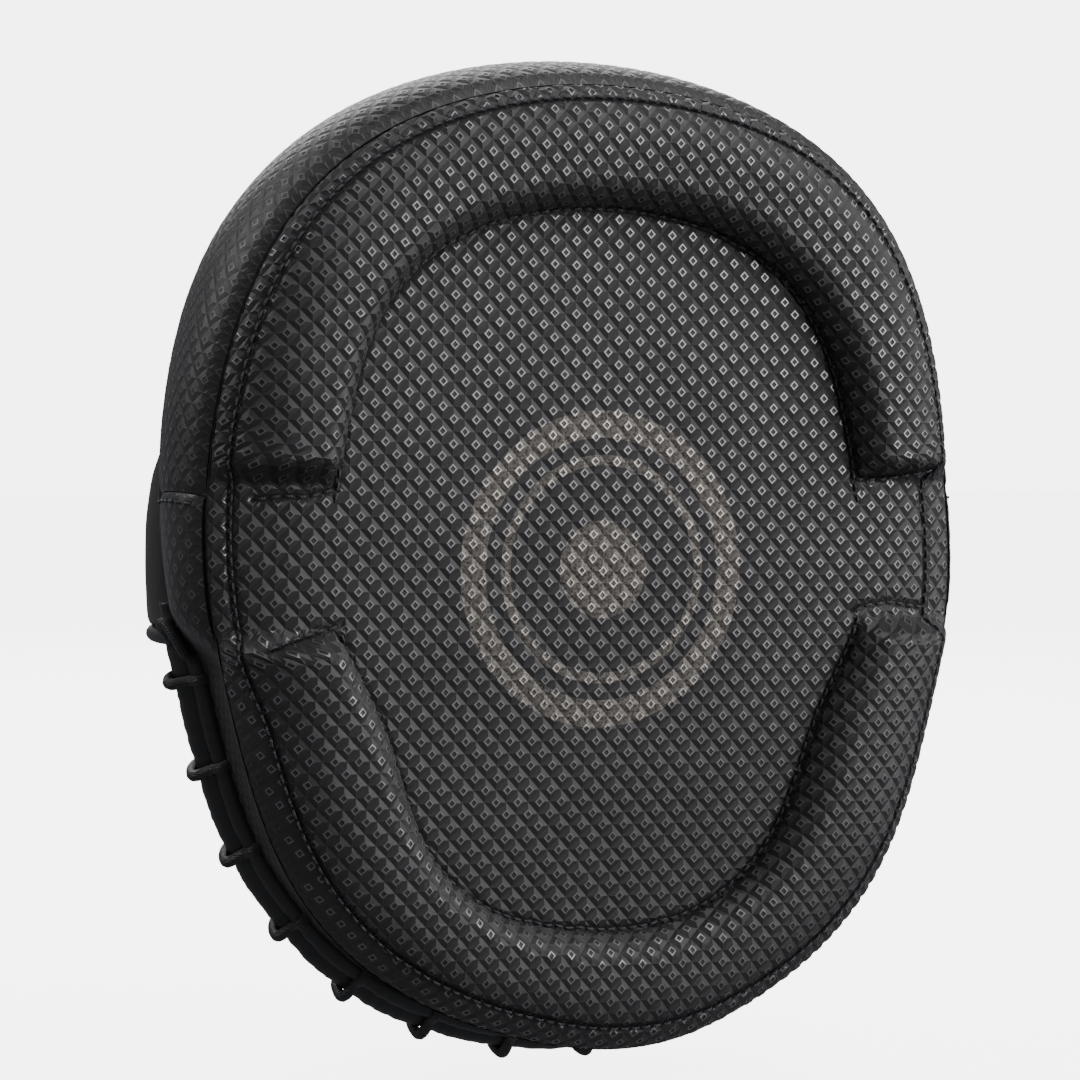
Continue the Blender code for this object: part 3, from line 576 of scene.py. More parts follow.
def face_from_flat(flat):
    """Angle, radius and arc for flattened X and Z, the arcs of foot and seam, and what lies past the seam."""
    theta = np.arctan2(flat[:, 0], flat[:, 1]) % FULL_TURN
    arc = np.hypot(flat[:, 0], flat[:, 1])
    place = theta / FULL_TURN * (len(THETAS) - 1)
    low = np.minimum(place.astype(int), len(THETAS) - 2)
    share = place - low
    limit = mix(FACE_ARCS[low, -1], FACE_ARCS[low + 1, -1], share)
    outside = arc > limit
    arc = np.minimum(arc, limit)
    radius = np.empty(len(arc))
    for i in range(len(arc)):
        a = np.interp(arc[i], FACE_ARCS[low[i]], FACE_RADII[low[i]])
        b = np.interp(arc[i], FACE_ARCS[low[i] + 1], FACE_RADII[low[i] + 1])
        radius[i] = mix(a, b, share[i])
    foot = mix(FOOT_ARCS[low], FOOT_ARCS[low + 1], share)
    return theta, radius, arc, foot, limit, outside


def corner_share(theta):
    """1 along the lower corner on the thumb's side."""
    return window(theta, *CORNER_SPAN)


def topstitch(theta):
    return mix(TOPSTITCH, LOW_TOPSTITCH, window(theta, *LOW_STITCH_SPAN))


def line_distance(points, line):
    """Distance of each point from a line of straight runs."""
    best = np.full(len(points), 1.0)
    for a, b in zip(line, line[1:]):
        a, b = np.array(a), np.array(b)
        run = b - a
        t = np.clip(((points - a) @ run) / (run @ run), 0.0, 1.0)
        best = np.minimum(best, np.linalg.norm(points - (a + t[:, None] * run), axis=1))
    return best


def foot_mask(z):
    """1 beside the rims, 0 in the channel, where the foot line stops."""
    above = smoothstep((z - CHANNEL_TOP + 0.003) / 0.003)
    return np.clip(above + smoothstep((CHANNEL_BOTTOM - z) / 0.003), 0.0, 1.0)


def face_groove(theta, radius, arc, foot, limit):
    """How far the seams and stitch lines pull the leather in."""
    z = radius * np.cos(theta)
    flat = np.stack([radius * np.sin(theta), z], axis=1)
    deep = FOOT_GROOVE * foot_mask(z) * np.exp(-((arc - foot) / GROOVE_WIDTH) ** 2)
    deep = np.maximum(deep, TOP_GROOVE * np.exp(-((limit - arc - topstitch(theta)) / GROOVE_WIDTH) ** 2))
    for line in CHANNEL_LINES:
        deep = np.maximum(deep, 0.8 * FOOT_GROOVE * np.exp(-(line_distance(flat, line) / GROOVE_WIDTH) ** 2))
    return deep


def stud_share(theta, radius, arc, foot, limit):
    """0 under the stitch lines, 1 away from them, less in the flattened strip at the corner."""
    z = radius * np.cos(theta)
    flat = np.stack([radius * np.sin(theta), z], axis=1)
    near = np.where(foot_mask(z) > 0.5, np.abs(arc - foot), 1.0)
    near = np.minimum(near, np.abs(limit - arc - topstitch(theta)))
    for line in CHANNEL_LINES:
        near = np.minimum(near, line_distance(flat, line))
    share = smoothstep((near - LINE_CLEAR) / LINE_BLEND)
    inset = (limit - arc) / topstitch(theta)
    return share * (1.0 - CORNER_FLAT * corner_share(theta) * smoothstep((1.15 - inset) / 0.3))


def face_normal(theta, radius):
    step = 0.0004
    limit = seam_radius(theta) - 0.5 * step
    inner = np.minimum(radius, limit)
    slope_r = (face_y(theta, inner + 0.5 * step) - face_y(theta, inner - step)) / (1.5 * step)
    turn = step / np.maximum(radius, 0.004)
    slope_t = (face_y(theta + turn, inner) - face_y(theta - turn, inner)) / (2.0 * step)
    slope_r = np.clip(slope_r, -3.0, 3.0)
    slope_t = np.clip(slope_t, -2.0, 2.0)
    out = np.stack([slope_r * np.sin(theta) + slope_t * np.cos(theta), -np.ones(len(theta)),
                    slope_r * np.cos(theta) - slope_t * np.sin(theta)], axis=1)
    return out / np.linalg.norm(out, axis=1)[:, None]


def place_on_face(flat, lift):
    """Points of the embossed face for flattened X and Z."""
    theta, radius, arc, foot, limit, outside = face_from_flat(flat)
    rise = np.where(outside, 0.0, lift) * np.clip((limit - arc) / BORDER_FALL, 0.0, 1.0)
    rise = rise * stud_share(theta, radius, arc, foot, limit)
    down = face_groove(theta, radius, arc, foot, limit)
    points = polar(theta, radius, face_y(theta, radius))
    return points + face_normal(theta, radius) * (rise - down)[:, None]


# ---- raised squares
AROUND = ((1.0, 0.0), (0.5, 0.5), (0.0, 1.0), (-0.5, 0.5),
          (-1.0, 0.0), (-0.5, -0.5), (0.0, -1.0), (0.5, -0.5))
RING_TOP = 2                 # which of a raised square's four bands of faces is its ring


def lattice(inside, height, to_flat, no_highlight=lambda point: False):
    """Raised squares with a sunk middle over a flat region; inside picks the cells' centres, and the rings'
    faces are flagged for a painted highlight.
    """
    corners, flat, lift, faces, painted_highlight = {}, [], [], [], []

    def rim(u, v):
        key = (round(4 * u), round(4 * v))
        if key not in corners:
            corners[key] = len(flat)
            flat.append(to_flat(u, v))
            lift.append(0.0)
        return corners[key]

    for u2 in range(-LATTICE_REACH, LATTICE_REACH + 1):
        for v2 in range(-LATTICE_REACH, LATTICE_REACH + 1):
            u, v = 0.5 * u2, 0.5 * v2
            if (u2 + v2) % 2 or not inside(to_flat(u, v)):
                continue
            loops = [[rim(u + 0.5 * du, v + 0.5 * dv) for du, dv in AROUND]]
            tall = height(to_flat(u, v))
            slope = tall * (0.5 - RING_SIDE) / (0.5 - RING_OUTER)
            pit = tall - PIT_DEPTH * tall / STUD_HEIGHT
            for share, up in ((RING_SIDE, slope), (RING_OUTER, tall), (RING_INNER, tall), (PIT_SHARE, pit)):
                loop = []
                for du, dv in AROUND:
                    loop.append(len(flat))
                    flat.append(to_flat(u + share * du, v + share * dv))
                    lift.append(up)
                loops.append(loop)
            # Ring faces get the lighter material, a painted highlight, except in cells that the test below
            # excludes.
            gets_highlight = not no_highlight(to_flat(u, v))
            for number, (low, high) in enumerate(zip(loops, loops[1:])):
                for k in range(8):
                    faces.append((low[k], low[(k + 1) % 8], high[(k + 1) % 8], high[k]))
                    painted_highlight.append(number == RING_TOP and gets_highlight)
            faces.append(tuple(loops[-1]))
            painted_highlight.append(False)
    return np.array(flat), np.array(lift), faces, painted_highlight


def face_flat(u, v):
    """Flattened X and Z of a place in the face's lattice."""
    c, s = math.cos(LATTICE_TURN), math.sin(LATTICE_TURN)
    x = (u * c - v * s + LATTICE_SHIFT[0]) * PITCH
    z = (u * s + v * c + LATTICE_SHIFT[1]) * PITCH
    return x, z


def make_face():
    limits = FACE_ARCS[:, -1]

    def room(point):
        """The point's angle and how far inside the seam it lies."""
        theta = math.atan2(point[0], point[1]) % FULL_TURN
        return theta, np.interp(theta, THETAS, limits) - math.hypot(*point)

    def inside(point):
        return room(point)[1] > -FACE_OVERRUN

    # Rings in the flattened strip at the corner get no painted highlight.
    def no_highlight(point):
        theta, inset = room(point)
        return corner_share(theta) > 0.5 and inset < 0.45 * topstitch(theta)

    flat, lift, faces, painted_highlight = lattice(inside, lambda p: STUD_HEIGHT, face_flat, no_highlight)
    points = place_on_face(flat, lift)
    piece = mesh_object("face_skin", points, faces, LOOKS["face_leather"], False, painted_highlight, RING_HIGHLIGHT_LOOK)
    turn_outwards(piece, merge=True)
    theta = np.linspace(0.0, FULL_TURN, 481)[:-1]
    seam, deep = seam_radius(theta), seam_y(theta)
    turned = ((0.0002, -0.0004), (0.0001, 0.0003), (-0.0008, 0.0010), (-0.0030, 0.0014))
    rows = [polar(theta, seam + out, deep + back) for out, back in turned]
    finish_piece(piece, ["face_cover"])
    skin("face_turned_edge", rows, "face_leather")


# ---- side band
def fold_y(theta):
    """Where the band's rear edge lies, in front of the back edge."""
    degrees = 180.0 - np.abs(180.0 - np.degrees(theta) % 360.0)
    arch = np.clip((degrees - 94.0) / 8.5, 0.0, 1.0) ** 0.5
    return rear_edge_y(theta) - mix(0.0004, FOLD_DEPTH, arch)


def make_band(name, start, end, node, height, dip):
    """One length of the side band with its low raised squares; dip draws in its front edge."""
    theta = np.radians(np.linspace(start, end, 900))
    along = distances(polar(theta, seam_radius(theta) + 0.003, 0.0))
    total = along[-1]
    over = 0.5 * PITCH

    def flat_point(u, v):
        return u * PITCH + 0.5 * total, v * PITCH

    def inside(point):
        return -over < point[0] < total + over and -over < point[1] < BAND_WIDTH + over

    flat, lift, faces, painted_highlight = lattice(inside, lambda p: height(p[1] / BAND_WIDTH), flat_point)
    angle = np.interp(flat[:, 0], along, theta)
    share = np.clip(flat[:, 1] / BAND_WIDTH, 0.0, 1.0)
    y = mix(seam_y(angle) + 0.0009, fold_y(angle), share)
    ends = np.minimum(flat[:, 0], total - flat[:, 0])
    sides = np.minimum(flat[:, 1], BAND_WIDTH - flat[:, 1])
    drawn = dip * np.exp(-share * BAND_WIDTH / BORDER_FALL) + 0.0007 * np.exp(-ends.clip(0.0) / BORDER_FALL)
    radius = gusset_radius(angle, y) - drawn + lift * np.clip(np.minimum(ends, sides) / 0.002, 0.0, 1.0)
    points = polar(angle, radius, y)
    # Ring faces take the lighter material, a painted highlight.
    piece = mesh_object(name, points, faces, LOOKS["side_leather"], False, painted_highlight, BAND_RING_HIGHLIGHT_LOOK)
    turn_outwards(piece, merge=True)
    finish_piece(piece, [node])


def pucker(theta, whips, narrow):
    """1 midway between whips and narrow at them."""
    nearest = np.min(np.abs(np.subtract.outer(theta, whips)), axis=1)
    pitch = whips[1] - whips[0]
    return mix(narrow, 1.0, smoothstep(nearest / (0.42 * pitch)) ** 0.7)


def make_inner_wall():
    """The dark inside of the laced edge, behind the rolls."""
    theta = np.radians(np.linspace(91.0, 269.0, 400))
    fold = fold_y(theta) - rear_edge_y(theta)
    places = ((-0.0008, fold - 0.0012), (-0.0026, fold + 0.0010), (-0.0032, 0.55 * fold), (-0.0034, -0.0012),
              (-0.0075, -0.0002))
    rows = [band_point(theta, clear, y) for clear, y in places]
    skin("laced_inside", rows, "edge_leather", closed=False)


def make_roll(name, centre, radius, start, end, node=(), whips=None, narrow=1.0, squash=1.0):
    """A rolled leather edge, drawn in to a narrow share of its size at each whip of the lace."""
    theta = np.radians(np.linspace(start, end, 620))
    swell = np.ones(len(theta)) if whips is None else pucker(theta, whips, narrow)
    middle_r, middle_y = centre(theta)
    gathers = 0.055 * np.sin(190.0 * theta + 2.0 * np.sin(41.0 * theta)) * (1.25 - swell)
    gathers += 0.018 * np.sin(97.0 * theta + 3.0 * np.sin(23.0 * theta))
    size = radius(theta) * (swell + gathers)
    rows = [polar(theta, middle_r + size * squash * math.cos(turn), middle_y + size * math.sin(turn))
            for turn in np.radians(np.arange(0.0, 360.0, 20.0))]
    skin(name, np.swapaxes(rows, 0, 1), "edge_leather", node, caps=True)


# ---- lacing
def lacing_angles():
    """Angles of the whips, equally spaced along the lower edge."""
    fine = np.radians(np.linspace(LACING_START, 360.0 - LACING_START, 400))
    along = distances(polar(fine, seam_radius(fine), 0.0))
    return np.interp(np.linspace(0.0, along[-1], WHIPS), along, fine)


def edge_point(theta, out, y):
    return polar(theta, rear_radius(theta) + out, rear_edge_y(theta) + y)


def band_point(theta, clear, y):
    depth = rear_edge_y(theta) + y
    return polar(theta, gusset_radius(theta, depth) + clear, depth)


def whip_points(theta, pitch):
    """One turn of the lace: out of the side band, over the rolled edge, in through the back."""
    turn = WELT_RADIUS + LACE_CLEAR + LACE_RADIUS
    lean = WHIP_LEAN * pitch
    return [
        band_point(theta, -0.55 * BEHIND_BAND, -GUSSET_HOLE),
        band_point(theta, LACE_RADIUS, -GUSSET_HOLE),
        band_point(theta, 1.9 * LACE_RADIUS, -0.74 * GUSSET_HOLE),
        edge_point(theta, turn + 0.0010, -WELT_RADIUS - 0.0007),
        edge_point(theta + lean, 0.80 * turn + 0.0004, 0.0003),
        edge_point(theta + lean, 0.20 * turn, turn - WELT_RADIUS + 0.0001),
        edge_point(theta + lean, -0.60 * turn, turn - WELT_RADIUS + 0.0001),
        edge_point(theta + lean, 0.0008 - BACK_HOLE, 1.35 * LACE_RADIUS),
        edge_point(theta + lean, -BACK_HOLE, 0.5 * LACE_RADIUS),
        edge_point(theta + lean, -BACK_HOLE, -2.6 * LACE_RADIUS),
        edge_point(theta + 0.35 * pitch, -BACK_HOLE, -4.6 * LACE_RADIUS),
        band_point(theta + 0.80 * pitch, -BEHIND_BAND, -GUSSET_HOLE),
    ]


def tail_points(theta, side):
    """An end of the lace: a small loop lying on the edge, then in through the side band."""
    step = side * TAIL_STEP / float(seam_radius(theta))
    rise = side * (TAIL_STEP + TAIL_RISE) / float(seam_radius(theta))
    on_band = LACE_RADIUS + 2.0 * LACE_CLEAR
    on_welt = 0.3 * WELT_RADIUS + LACE_CLEAR + LACE_RADIUS
    return [
        edge_point(theta + 0.60 * step, on_welt, -WELT_RADIUS),
        edge_point(theta + mix(step, rise, 0.45), on_welt, -WELT_RADIUS),
        band_point(theta + mix(step, rise, 0.9), on_band + LACE_RADIUS, -0.0060),
        band_point(theta + mix(step, rise, 0.9), on_band, -0.0088),
        band_point(theta + mix(step, rise, 0.45), on_band, -GUSSET_HOLE - 0.0008),
        band_point(theta + 1.25 * step, on_band, -GUSSET_HOLE),
        band_point(theta + step, 0.8 * LACE_RADIUS, -GUSSET_HOLE),
        band_point(theta + step, -0.55 * BEHIND_BAND, -GUSSET_HOLE),
        band_point(theta + 0.5 * step, -BEHIND_BAND, -GUSSET_HOLE),
    ]


def smooth_route(points, per_span):
    """A smooth curve through all the points."""
    route = []
    for index in range(len(points) - 1):
        before = points[max(index - 1, 0)]
        start = points[index]
        end = points[index + 1]
        after = points[min(index + 2, len(points) - 1)]
        for step in range(per_span):
            t = step / per_span
            route.append(0.5 * (2.0 * start + (end - before) * t
                                + (2.0 * before - 5.0 * start + 4.0 * end - after) * t ** 2
                                + (3.0 * start - before - 3.0 * end + after) * t ** 3))
    route.append(points[-1])
    return np.array(route)


def make_lace(whips):
    pitch = whips[1] - whips[0]
    points = tail_points(whips[0], -1.0)
    for theta in whips:
        points += whip_points(theta, pitch)
    route = smooth_route(points[:-2] + tail_points(whips[-1], 1.0)[::-1], 6)
    ahead = np.gradient(route, axis=0)
    ahead /= np.linalg.norm(ahead, axis=1)[:, None]
    side = np.cross(ahead[0], (0.31, 0.93, 0.2))
    rows = []
    for point, way in zip(route, ahead):
        side = side - (side @ way) * way
        side /= np.linalg.norm(side)
        other = np.cross(way, side)
        rows.append([point + LACE_RADIUS * (math.cos(turn) * side + math.sin(turn) * other)
                     for turn in np.linspace(0.0, FULL_TURN, 10, endpoint=False)])
    skin("lace_cord", rows, "lace_leather", ["lace"], caps=True)


# ---- stitching
def stitches(name, lines, body="pad", radius=THREAD):
    """Short raised threads along lines of points with their normals."""
    share, lift, size = np.array(THREAD_SHAPE).T
    lift, size = radius * lift, radius * size
    vertices, faces = [], []
    for points, normals in lines:
        points, normals = np.asarray(points), np.asarray(normals)
        along = distances(points)
        count = int(along[-1] / STITCH_PITCH)
        for number in range(count):
            places = (number + 0.5) * along[-1] / count + STITCH_LENGTH * (share - 0.5)
            at = np.stack([np.interp(places, along, points[:, k]) for k in range(3)], axis=1)
            up = np.stack([np.interp(places, along, normals[:, k]) for k in range(3)], axis=1)
            up /= np.linalg.norm(up, axis=1)[:, None]
            way = at[-1] - at[0]
            way /= np.linalg.norm(way) + 1e-12
            base = len(vertices)
            for k in range(len(share)):
                side = np.cross(way, up[k])
                for turn in np.radians((0.0, 60.0, 120.0, 180.0, 240.0, 300.0)):
                    out = up[k] * (lift[k] + size[k] * math.sin(turn))
                    vertices.append(at[k] + out + side * size[k] * math.cos(turn))
            faces += grid_faces(len(share), 6, caps=True, base=base)
    finish_piece(mesh_object(name, vertices, faces, THREAD_LOOK), body=body)


def on_face(theta, arc):
    """A line just above the plain face, with its normals, from angles and distances along the leather."""
    theta, radius, *_ = face_from_flat(np.stack([arc * np.sin(theta), arc * np.cos(theta)], axis=1))
    normals = face_normal(theta, radius)
    return polar(theta, radius, face_y(theta, radius)) + CREASE_LIFT * normals, normals


def paint_groove_shade(name, lines):
    """Painted shade: near-black strips along the grooves in which the stitches lie."""
    vertices, faces = [], []
    for points, normals in lines:
        ahead = np.gradient(points, axis=0)
        side = np.cross(ahead, normals)
        side /= np.linalg.norm(side, axis=1)[:, None]
        base = len(vertices)
        for share, drop in ((-1.0, 0.0), (-0.5, 0.00012), (0.5, 0.00012), (1.0, 0.0)):
            vertices.extend(points + 0.5 * CREASE_WIDTH * share * side - (drop + 0.00004) * normals)
        faces += grid_faces(4, len(points), closed=False, base=base)
    finish_piece(mesh_object(name, vertices, faces, CREASE_SHADE_LOOK))


def face_lines():
    """The rims' foot lines, the topstitch and the stitched ends of the channel."""
    lines = []
    for start, end in ((-74.6, 75.2), (97.0, 261.8)):
        theta = np.radians(np.linspace(start, end, 500)) % FULL_TURN
        lines.append(on_face(theta, np.interp(theta, THETAS, FOOT_ARCS) - 0.5 * CREASE_WIDTH))
    theta = np.radians(np.linspace(0.0, 360.0, 1200)) % FULL_TURN
    lines.append(on_face(theta, np.interp(theta, THETAS, FACE_ARCS[:, -1]) - topstitch(theta)))
    for line in CHANNEL_LINES:
        line = np.array(line)
        along = distances(line)
        places = np.linspace(0.0, 1.0, 60) * along[-1]
        x, z = (np.interp(places, along, line[:, k]) for k in range(2))
        theta = np.arctan2(x, z) % FULL_TURN
        radius = np.minimum(np.hypot(x, z), seam_radius(theta))
        rows = np.rint(theta / FULL_TURN * (len(THETAS) - 1)).astype(int)
        arc = np.array([np.interp(r, FACE_RADII[row], FACE_ARCS[row]) for row, r in zip(rows, radius)])
        lines.append(on_face(theta, arc))
    return lines


def band_lines():
    """The two cross seams of the side band."""
    lines = []
    for side in (-1.0, 1.0):
        theta = np.full(40, np.radians(side * (CROSS_SEAM + 1.3)))
        y = mix(seam_y(theta) + 0.003, rear_edge_y(theta) - 0.002, np.linspace(0.0, 1.0, 40))
        lines.append((polar(theta, gusset_radius(theta, y) + 0.0002, y), polar(theta, 1.0, 0.0)))
    return lines


# ---- back
def make_back():
    """The flat leather of the back, with a stitched line inside its turned edge."""
    theta = np.linspace(0.0, FULL_TURN, 361)[:-1]
    edge = rear_radius(theta) - np.maximum(welt_radius(theta), 0.0018) - GAP
    rows = [np.zeros((len(theta), 3))]
    for share in np.concatenate([np.linspace(0.02, 0.9, 40), [0.93, 0.95, 0.965, 0.98, 0.992, 1.0]]):
        radius = edge * share
        inset = edge - radius
        puff = 0.0006 * np.exp(-((inset - 0.014) / 0.006) ** 2)
        puff -= 0.0005 * np.exp(-((inset - BACK_STITCH) / BORDER_FALL) ** 2)
        rows.append(polar(theta, radius, back_y(radius * np.cos(theta)) + puff - 0.0006 * (share > 0.99)))
    rows.append(polar(theta, edge, back_y(edge * np.cos(theta)) - 0.0016))
    piece = grid_object("back_skin", rows, "smooth_leather")
    turn_outwards(piece, merge=True)
    finish_piece(piece, ["back_panel"])
    radius = edge - BACK_STITCH
    line = polar(theta, radius, back_y(radius * np.cos(theta)) - 0.0003)
    line = np.concatenate([line, line[:1]])
    stitches("back_stitches", [(line, np.tile((0.0, 1.0, 0.0), (len(line), 1)))])


def pocket_point(shape, run, turn, grow):
    """A point on a pocket: run along it from the mouth, turn round its section."""
    share = min(max(run / (shape.length + grow), 0.0), 1.0)
    form = math.sqrt(max(1.0 - share ** POCKET_ROUND, 0.0))
    low = math.sin(math.radians(shape.tuck))
    aside = (shape.half_width + grow) * form * math.cos(turn)
    rise = (shape.height + grow) * form * (1.0 - POCKET_TAPER * share)
    x = shape.mouth[0] + shape.along[0] * run + shape.along[1] * aside
    z = shape.mouth[1] + shape.along[1] * run - shape.along[0] * aside
    return np.array((x, float(back_y(z)) + GAP + rise * (math.sin(turn) + low) / (1.0 + low), z))


def pocket_binding(name, shape, total, node):
    """Rolled binding round a pocket's mouth."""
    before = -0.0010
    centre = pocket_point(shape, before, math.radians(90.0), -0.7 * shape.height)
    back = np.array((-shape.along[0], 0.0, -shape.along[1]))
    rows = []
    for turn in np.radians(np.linspace(-shape.tuck, 180.0 + shape.tuck, 90)):
        middle = pocket_point(shape, before, turn, -0.5 * total)
        out = middle - centre
        out /= np.linalg.norm(out)
        rows.append([middle + out * (0.5 * total + 0.0005) * math.cos(a) + back * 0.0022 * math.sin(a)
                     for a in np.radians(np.arange(0.0, 360.0, 22.5))])
    skin(name, rows, "edge_leather", [node], caps=True)


def pocket_stitches(name, shape, padded):
    """Two rows beside the binding, on the padded surface."""
    lines = []
    for run in (0.0046, 0.0066):
        points, normals = [], []
        for turn in np.radians(np.linspace(6.0 - 0.4 * shape.tuck, 174.0 + 0.4 * shape.tuck, 80)):
            guess = Vector(pocket_point(shape, run, turn, 0.0016))
            found, point, normal, _ = padded.closest_point_on_mesh(guess)
            if found:
                points.append(np.array(point))
                normals.append(np.array(normal))
        lines.append((points, normals))
    stitches(name, lines)


def baked(piece):
    """Gives a piece the mesh that its modifiers make, and takes them off."""
    bpy.context.view_layer.update()
    graph = bpy.context.evaluated_depsgraph_get()
    piece.data = bpy.data.meshes.new_from_object(piece.evaluated_get(graph))
    piece.modifiers.clear()
    return np.array([v.co for v in piece.data.vertices])


def plump(name, nodes, voxel, pressure, held, cap):
    """A padded piece: the CAD shapes joined, blown up a little as cloth, then smoothed."""
    build = bmesh.new()
    for node in nodes:
        build.from_mesh(frame["nodes"][node].data)
    mesh = bpy.data.meshes.new(name)
    build.to_mesh(mesh)
    build.free()
    mesh.materials.clear()
    mesh.materials.append(LOOKS["smooth_leather"])
    piece = bpy.data.objects.new(name, mesh)
    bpy.context.scene.collection.objects.link(piece)
    remesh = piece.modifiers.new("remesh", 'REMESH')
    remesh.mode = 'VOXEL'
    remesh.voxel_size = voxel
    rest = baked(piece)
    group = piece.vertex_groups.new(name="held")
    for index, place in enumerate(rest):
        group.add([index], held(place), 'REPLACE')
    cloth = piece.modifiers.new("cloth", 'CLOTH')
    for setting, value in CLOTH:
        setattr(cloth.settings, setting, value)
    cloth.settings.uniform_pressure_force = pressure
    cloth.settings.effector_weights.gravity = 0.0
    cloth.point_cache.frame_start = 1
    cloth.point_cache.frame_end = CLOTH_FRAMES
    for number in range(1, CLOTH_FRAMES + 1):
        bpy.context.scene.frame_set(number)
    step = baked(piece) - rest
    size = np.linalg.norm(step, axis=1)
    step *= np.minimum(1.0, cap / np.maximum(size, 1e-9))[:, None]
    piece.data.vertices.foreach_set("co", (rest + step).astype(np.float32).ravel())
    bpy.context.scene.frame_set(1)
    smooth = piece.modifiers.new("smooth", 'SMOOTH')
    smooth.factor = 0.5
    smooth.iterations = 3
    divide = piece.modifiers.new("divide", 'SUBSURF')
    divide.levels = 1
    divide.render_levels = 1
    baked(piece)
    piece.data.shade_smooth()
    finish_piece(piece, nodes)
    return piece


# ---- wrist
def cuff_point(degrees, offset):
    turn = math.radians(degrees)
    return np.array(((CUFF_HALF_WIDTH + offset) * math.cos(turn),
                     CUFF_CENTRE_Y + (CUFF_HALF_DEPTH + offset) * math.sin(turn), 0.0))


def strip(name, places, low, high, half_height, slot, node, body="pad", ribs=0.0):
    """A strip along the cuff's oval with soft edges; places are (degrees, y or None)."""
    heights = np.linspace(-half_height, half_height, 33)
    soft = [0.0008 * (1.0 - min(1.0, (half_height - abs(z)) / 0.0016)) ** 2 for z in heights]
    rows = []
    for number, (degrees, foot) in enumerate(places):
        inner, outer = cuff_point(degrees, low), cuff_point(degrees, high)
        if foot is not None:
            inner[1] = outer[1] = foot
        out = (outer - inner) / np.linalg.norm(outer - inner)
        wave = ribs * math.cos(number * math.pi)
        faces = []
        for side, way in ((outer, out), (inner, -out)):
            faces.append([side + way * (wave - drop) + np.array((0.0, 0.0, WRIST_MIDDLE + z))
                          for z, drop in zip(heights, soft)])
        rows.append(faces[0] + faces[1][::-1])
    skin(name, rows, slot, [node], body, caps=True)


def strap_line(degrees, heights, offset):
    """Points on the strap at degrees along the oval and heights, with their normals."""
    points = [cuff_point(turn, offset) + np.array((0.0, 0.0, WRIST_MIDDLE + z))
              for turn, z in np.broadcast(degrees, heights)]
    return points, [np.array((point[0], point[1] - CUFF_CENTRE_Y, 0.0)) for point in points]


def make_wrist():
    """The elastic cuff, the strap with its stitches, and the strap's sewn end."""
    cuff_places = [(CUFF_SPAN[0], y) for y in (GAP, 0.006, 0.012)]
    cuff_places += [(d, None) for d in np.linspace(*CUFF_SPAN, 140)]
    strip("cuff_elastic", cuff_places, 0.0002, CUFF_THICKNESS - 0.0002, STRAP_HALF_HEIGHT + CUFF_MARGIN,
          "smooth_leather", "cuff_band", ribs=0.00018)
    strap_high = STRAP_LOW + STRAP_THICKNESS
    strap_places = [(STRAP_SPAN[0], y) for y in (STRAP_FOOT, 0.007, 0.010, 0.014)]
    strap_places += [(d, None) for d in np.linspace(*STRAP_SPAN, 90)]
    strip("strap_skin", strap_places, STRAP_LOW, strap_high, STRAP_HALF_HEIGHT,
          "strap_leather", "wrist_strap", body="strap")
    offset = strap_high - 0.00010
    row = STRAP_HALF_HEIGHT - 0.0025
    lines = [strap_line(np.linspace(2.0, 126.0, 120), z, offset) for z in (row, -row)]
    lines += [strap_line(degrees, np.linspace(-0.0125, 0.0125, 20), offset) for degrees in (70.0, 124.0)]
    stitches("strap_stitches", lines, body="strap", radius=0.00028)

    x = CUFF_HALF_WIDTH + 0.5 * (STRAP_LOW + strap_high)
    heights = WRIST_MIDDLE + np.linspace(-0.0158, 0.0158, 12)
    sections = ((0.0012, 0.0046), (0.0026, 0.0030), (0.0036, 0.0013), (0.0046, 0.0012), (0.0080, 0.0013),
                (0.0086, 0.0008))
    rows = [[(x - half, y, z) for z in heights] + [(x + half, y, z) for z in heights[::-1]]
            for y, half in sections]
    root = grid_object("strap_root", rows, "strap_leather", caps=True)
    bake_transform(root)

    low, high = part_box("strap_anchor")
    inset = Vector((0.0022, 0.0, 0.0022))
    low, high = low + inset, high - inset
    y = high.y + 0.0001
    corners = ((low.x, low.z), (low.x, high.z), (high.x, high.z), (high.x, low.z))
    box = [np.array((x, y, z)) for x, z in corners]
    line = [mix(a, b, share) for a, b in zip(box, box[1:] + box[:1]) for share in np.linspace(0.0, 1.0, 20)]
    stitches("anchor_stitches", [(line, np.tile((0.0, 1.0, 0.0), (len(line), 1)))])


# ---- build
def front_centre(theta):
    y = rear_edge_y(theta) - 0.0081
    return gusset_radius(theta, y) + 0.0001, y


def front_size(theta):
    return 0.0027 * mix(0.15, 1.0, laced_share(theta))


def rear_centre(theta):
    return rear_radius(theta) + 0.0004, rear_edge_y(theta) - welt_radius(theta)


def rear_size(theta):
    return 1.42 * WELT_RADIUS * mix(0.6, 1.0, laced_share(theta))


def hem_centre(theta):
    return rear_radius(theta) - 0.0010, rear_edge_y(theta) - 0.0009


def hem_size(theta):
    return 0.0015


def lower_stud(share):
    """The lower band's squares are pressed flat towards the lacing."""
    return GUSSET_STUD * mix(0.7, 0.15, float(smoothstep(share / 0.6)))


def hood_held(place):
    """The hood is sewn down along the back, its mouth and two lines between the fingers."""
    if place[1] < 0.004 or place[2] < HOOD.mouth[1] + 0.004:
        return 1.0
    return 0.9 if abs(abs(place[0] - HOOD.mouth[0]) - 0.020) < 0.0022 else 0.0


def thumb_held(place):
    run = (place[0] - THUMB.mouth[0]) * THUMB.along[0] + (place[2] - THUMB.mouth[1]) * THUMB.along[1]
    return 1.0 if place[1] < 0.003 or run < 0.004 else 0.0


def foot_held(place):
    return 1.0 if place[1] < 0.0025 else 0.0


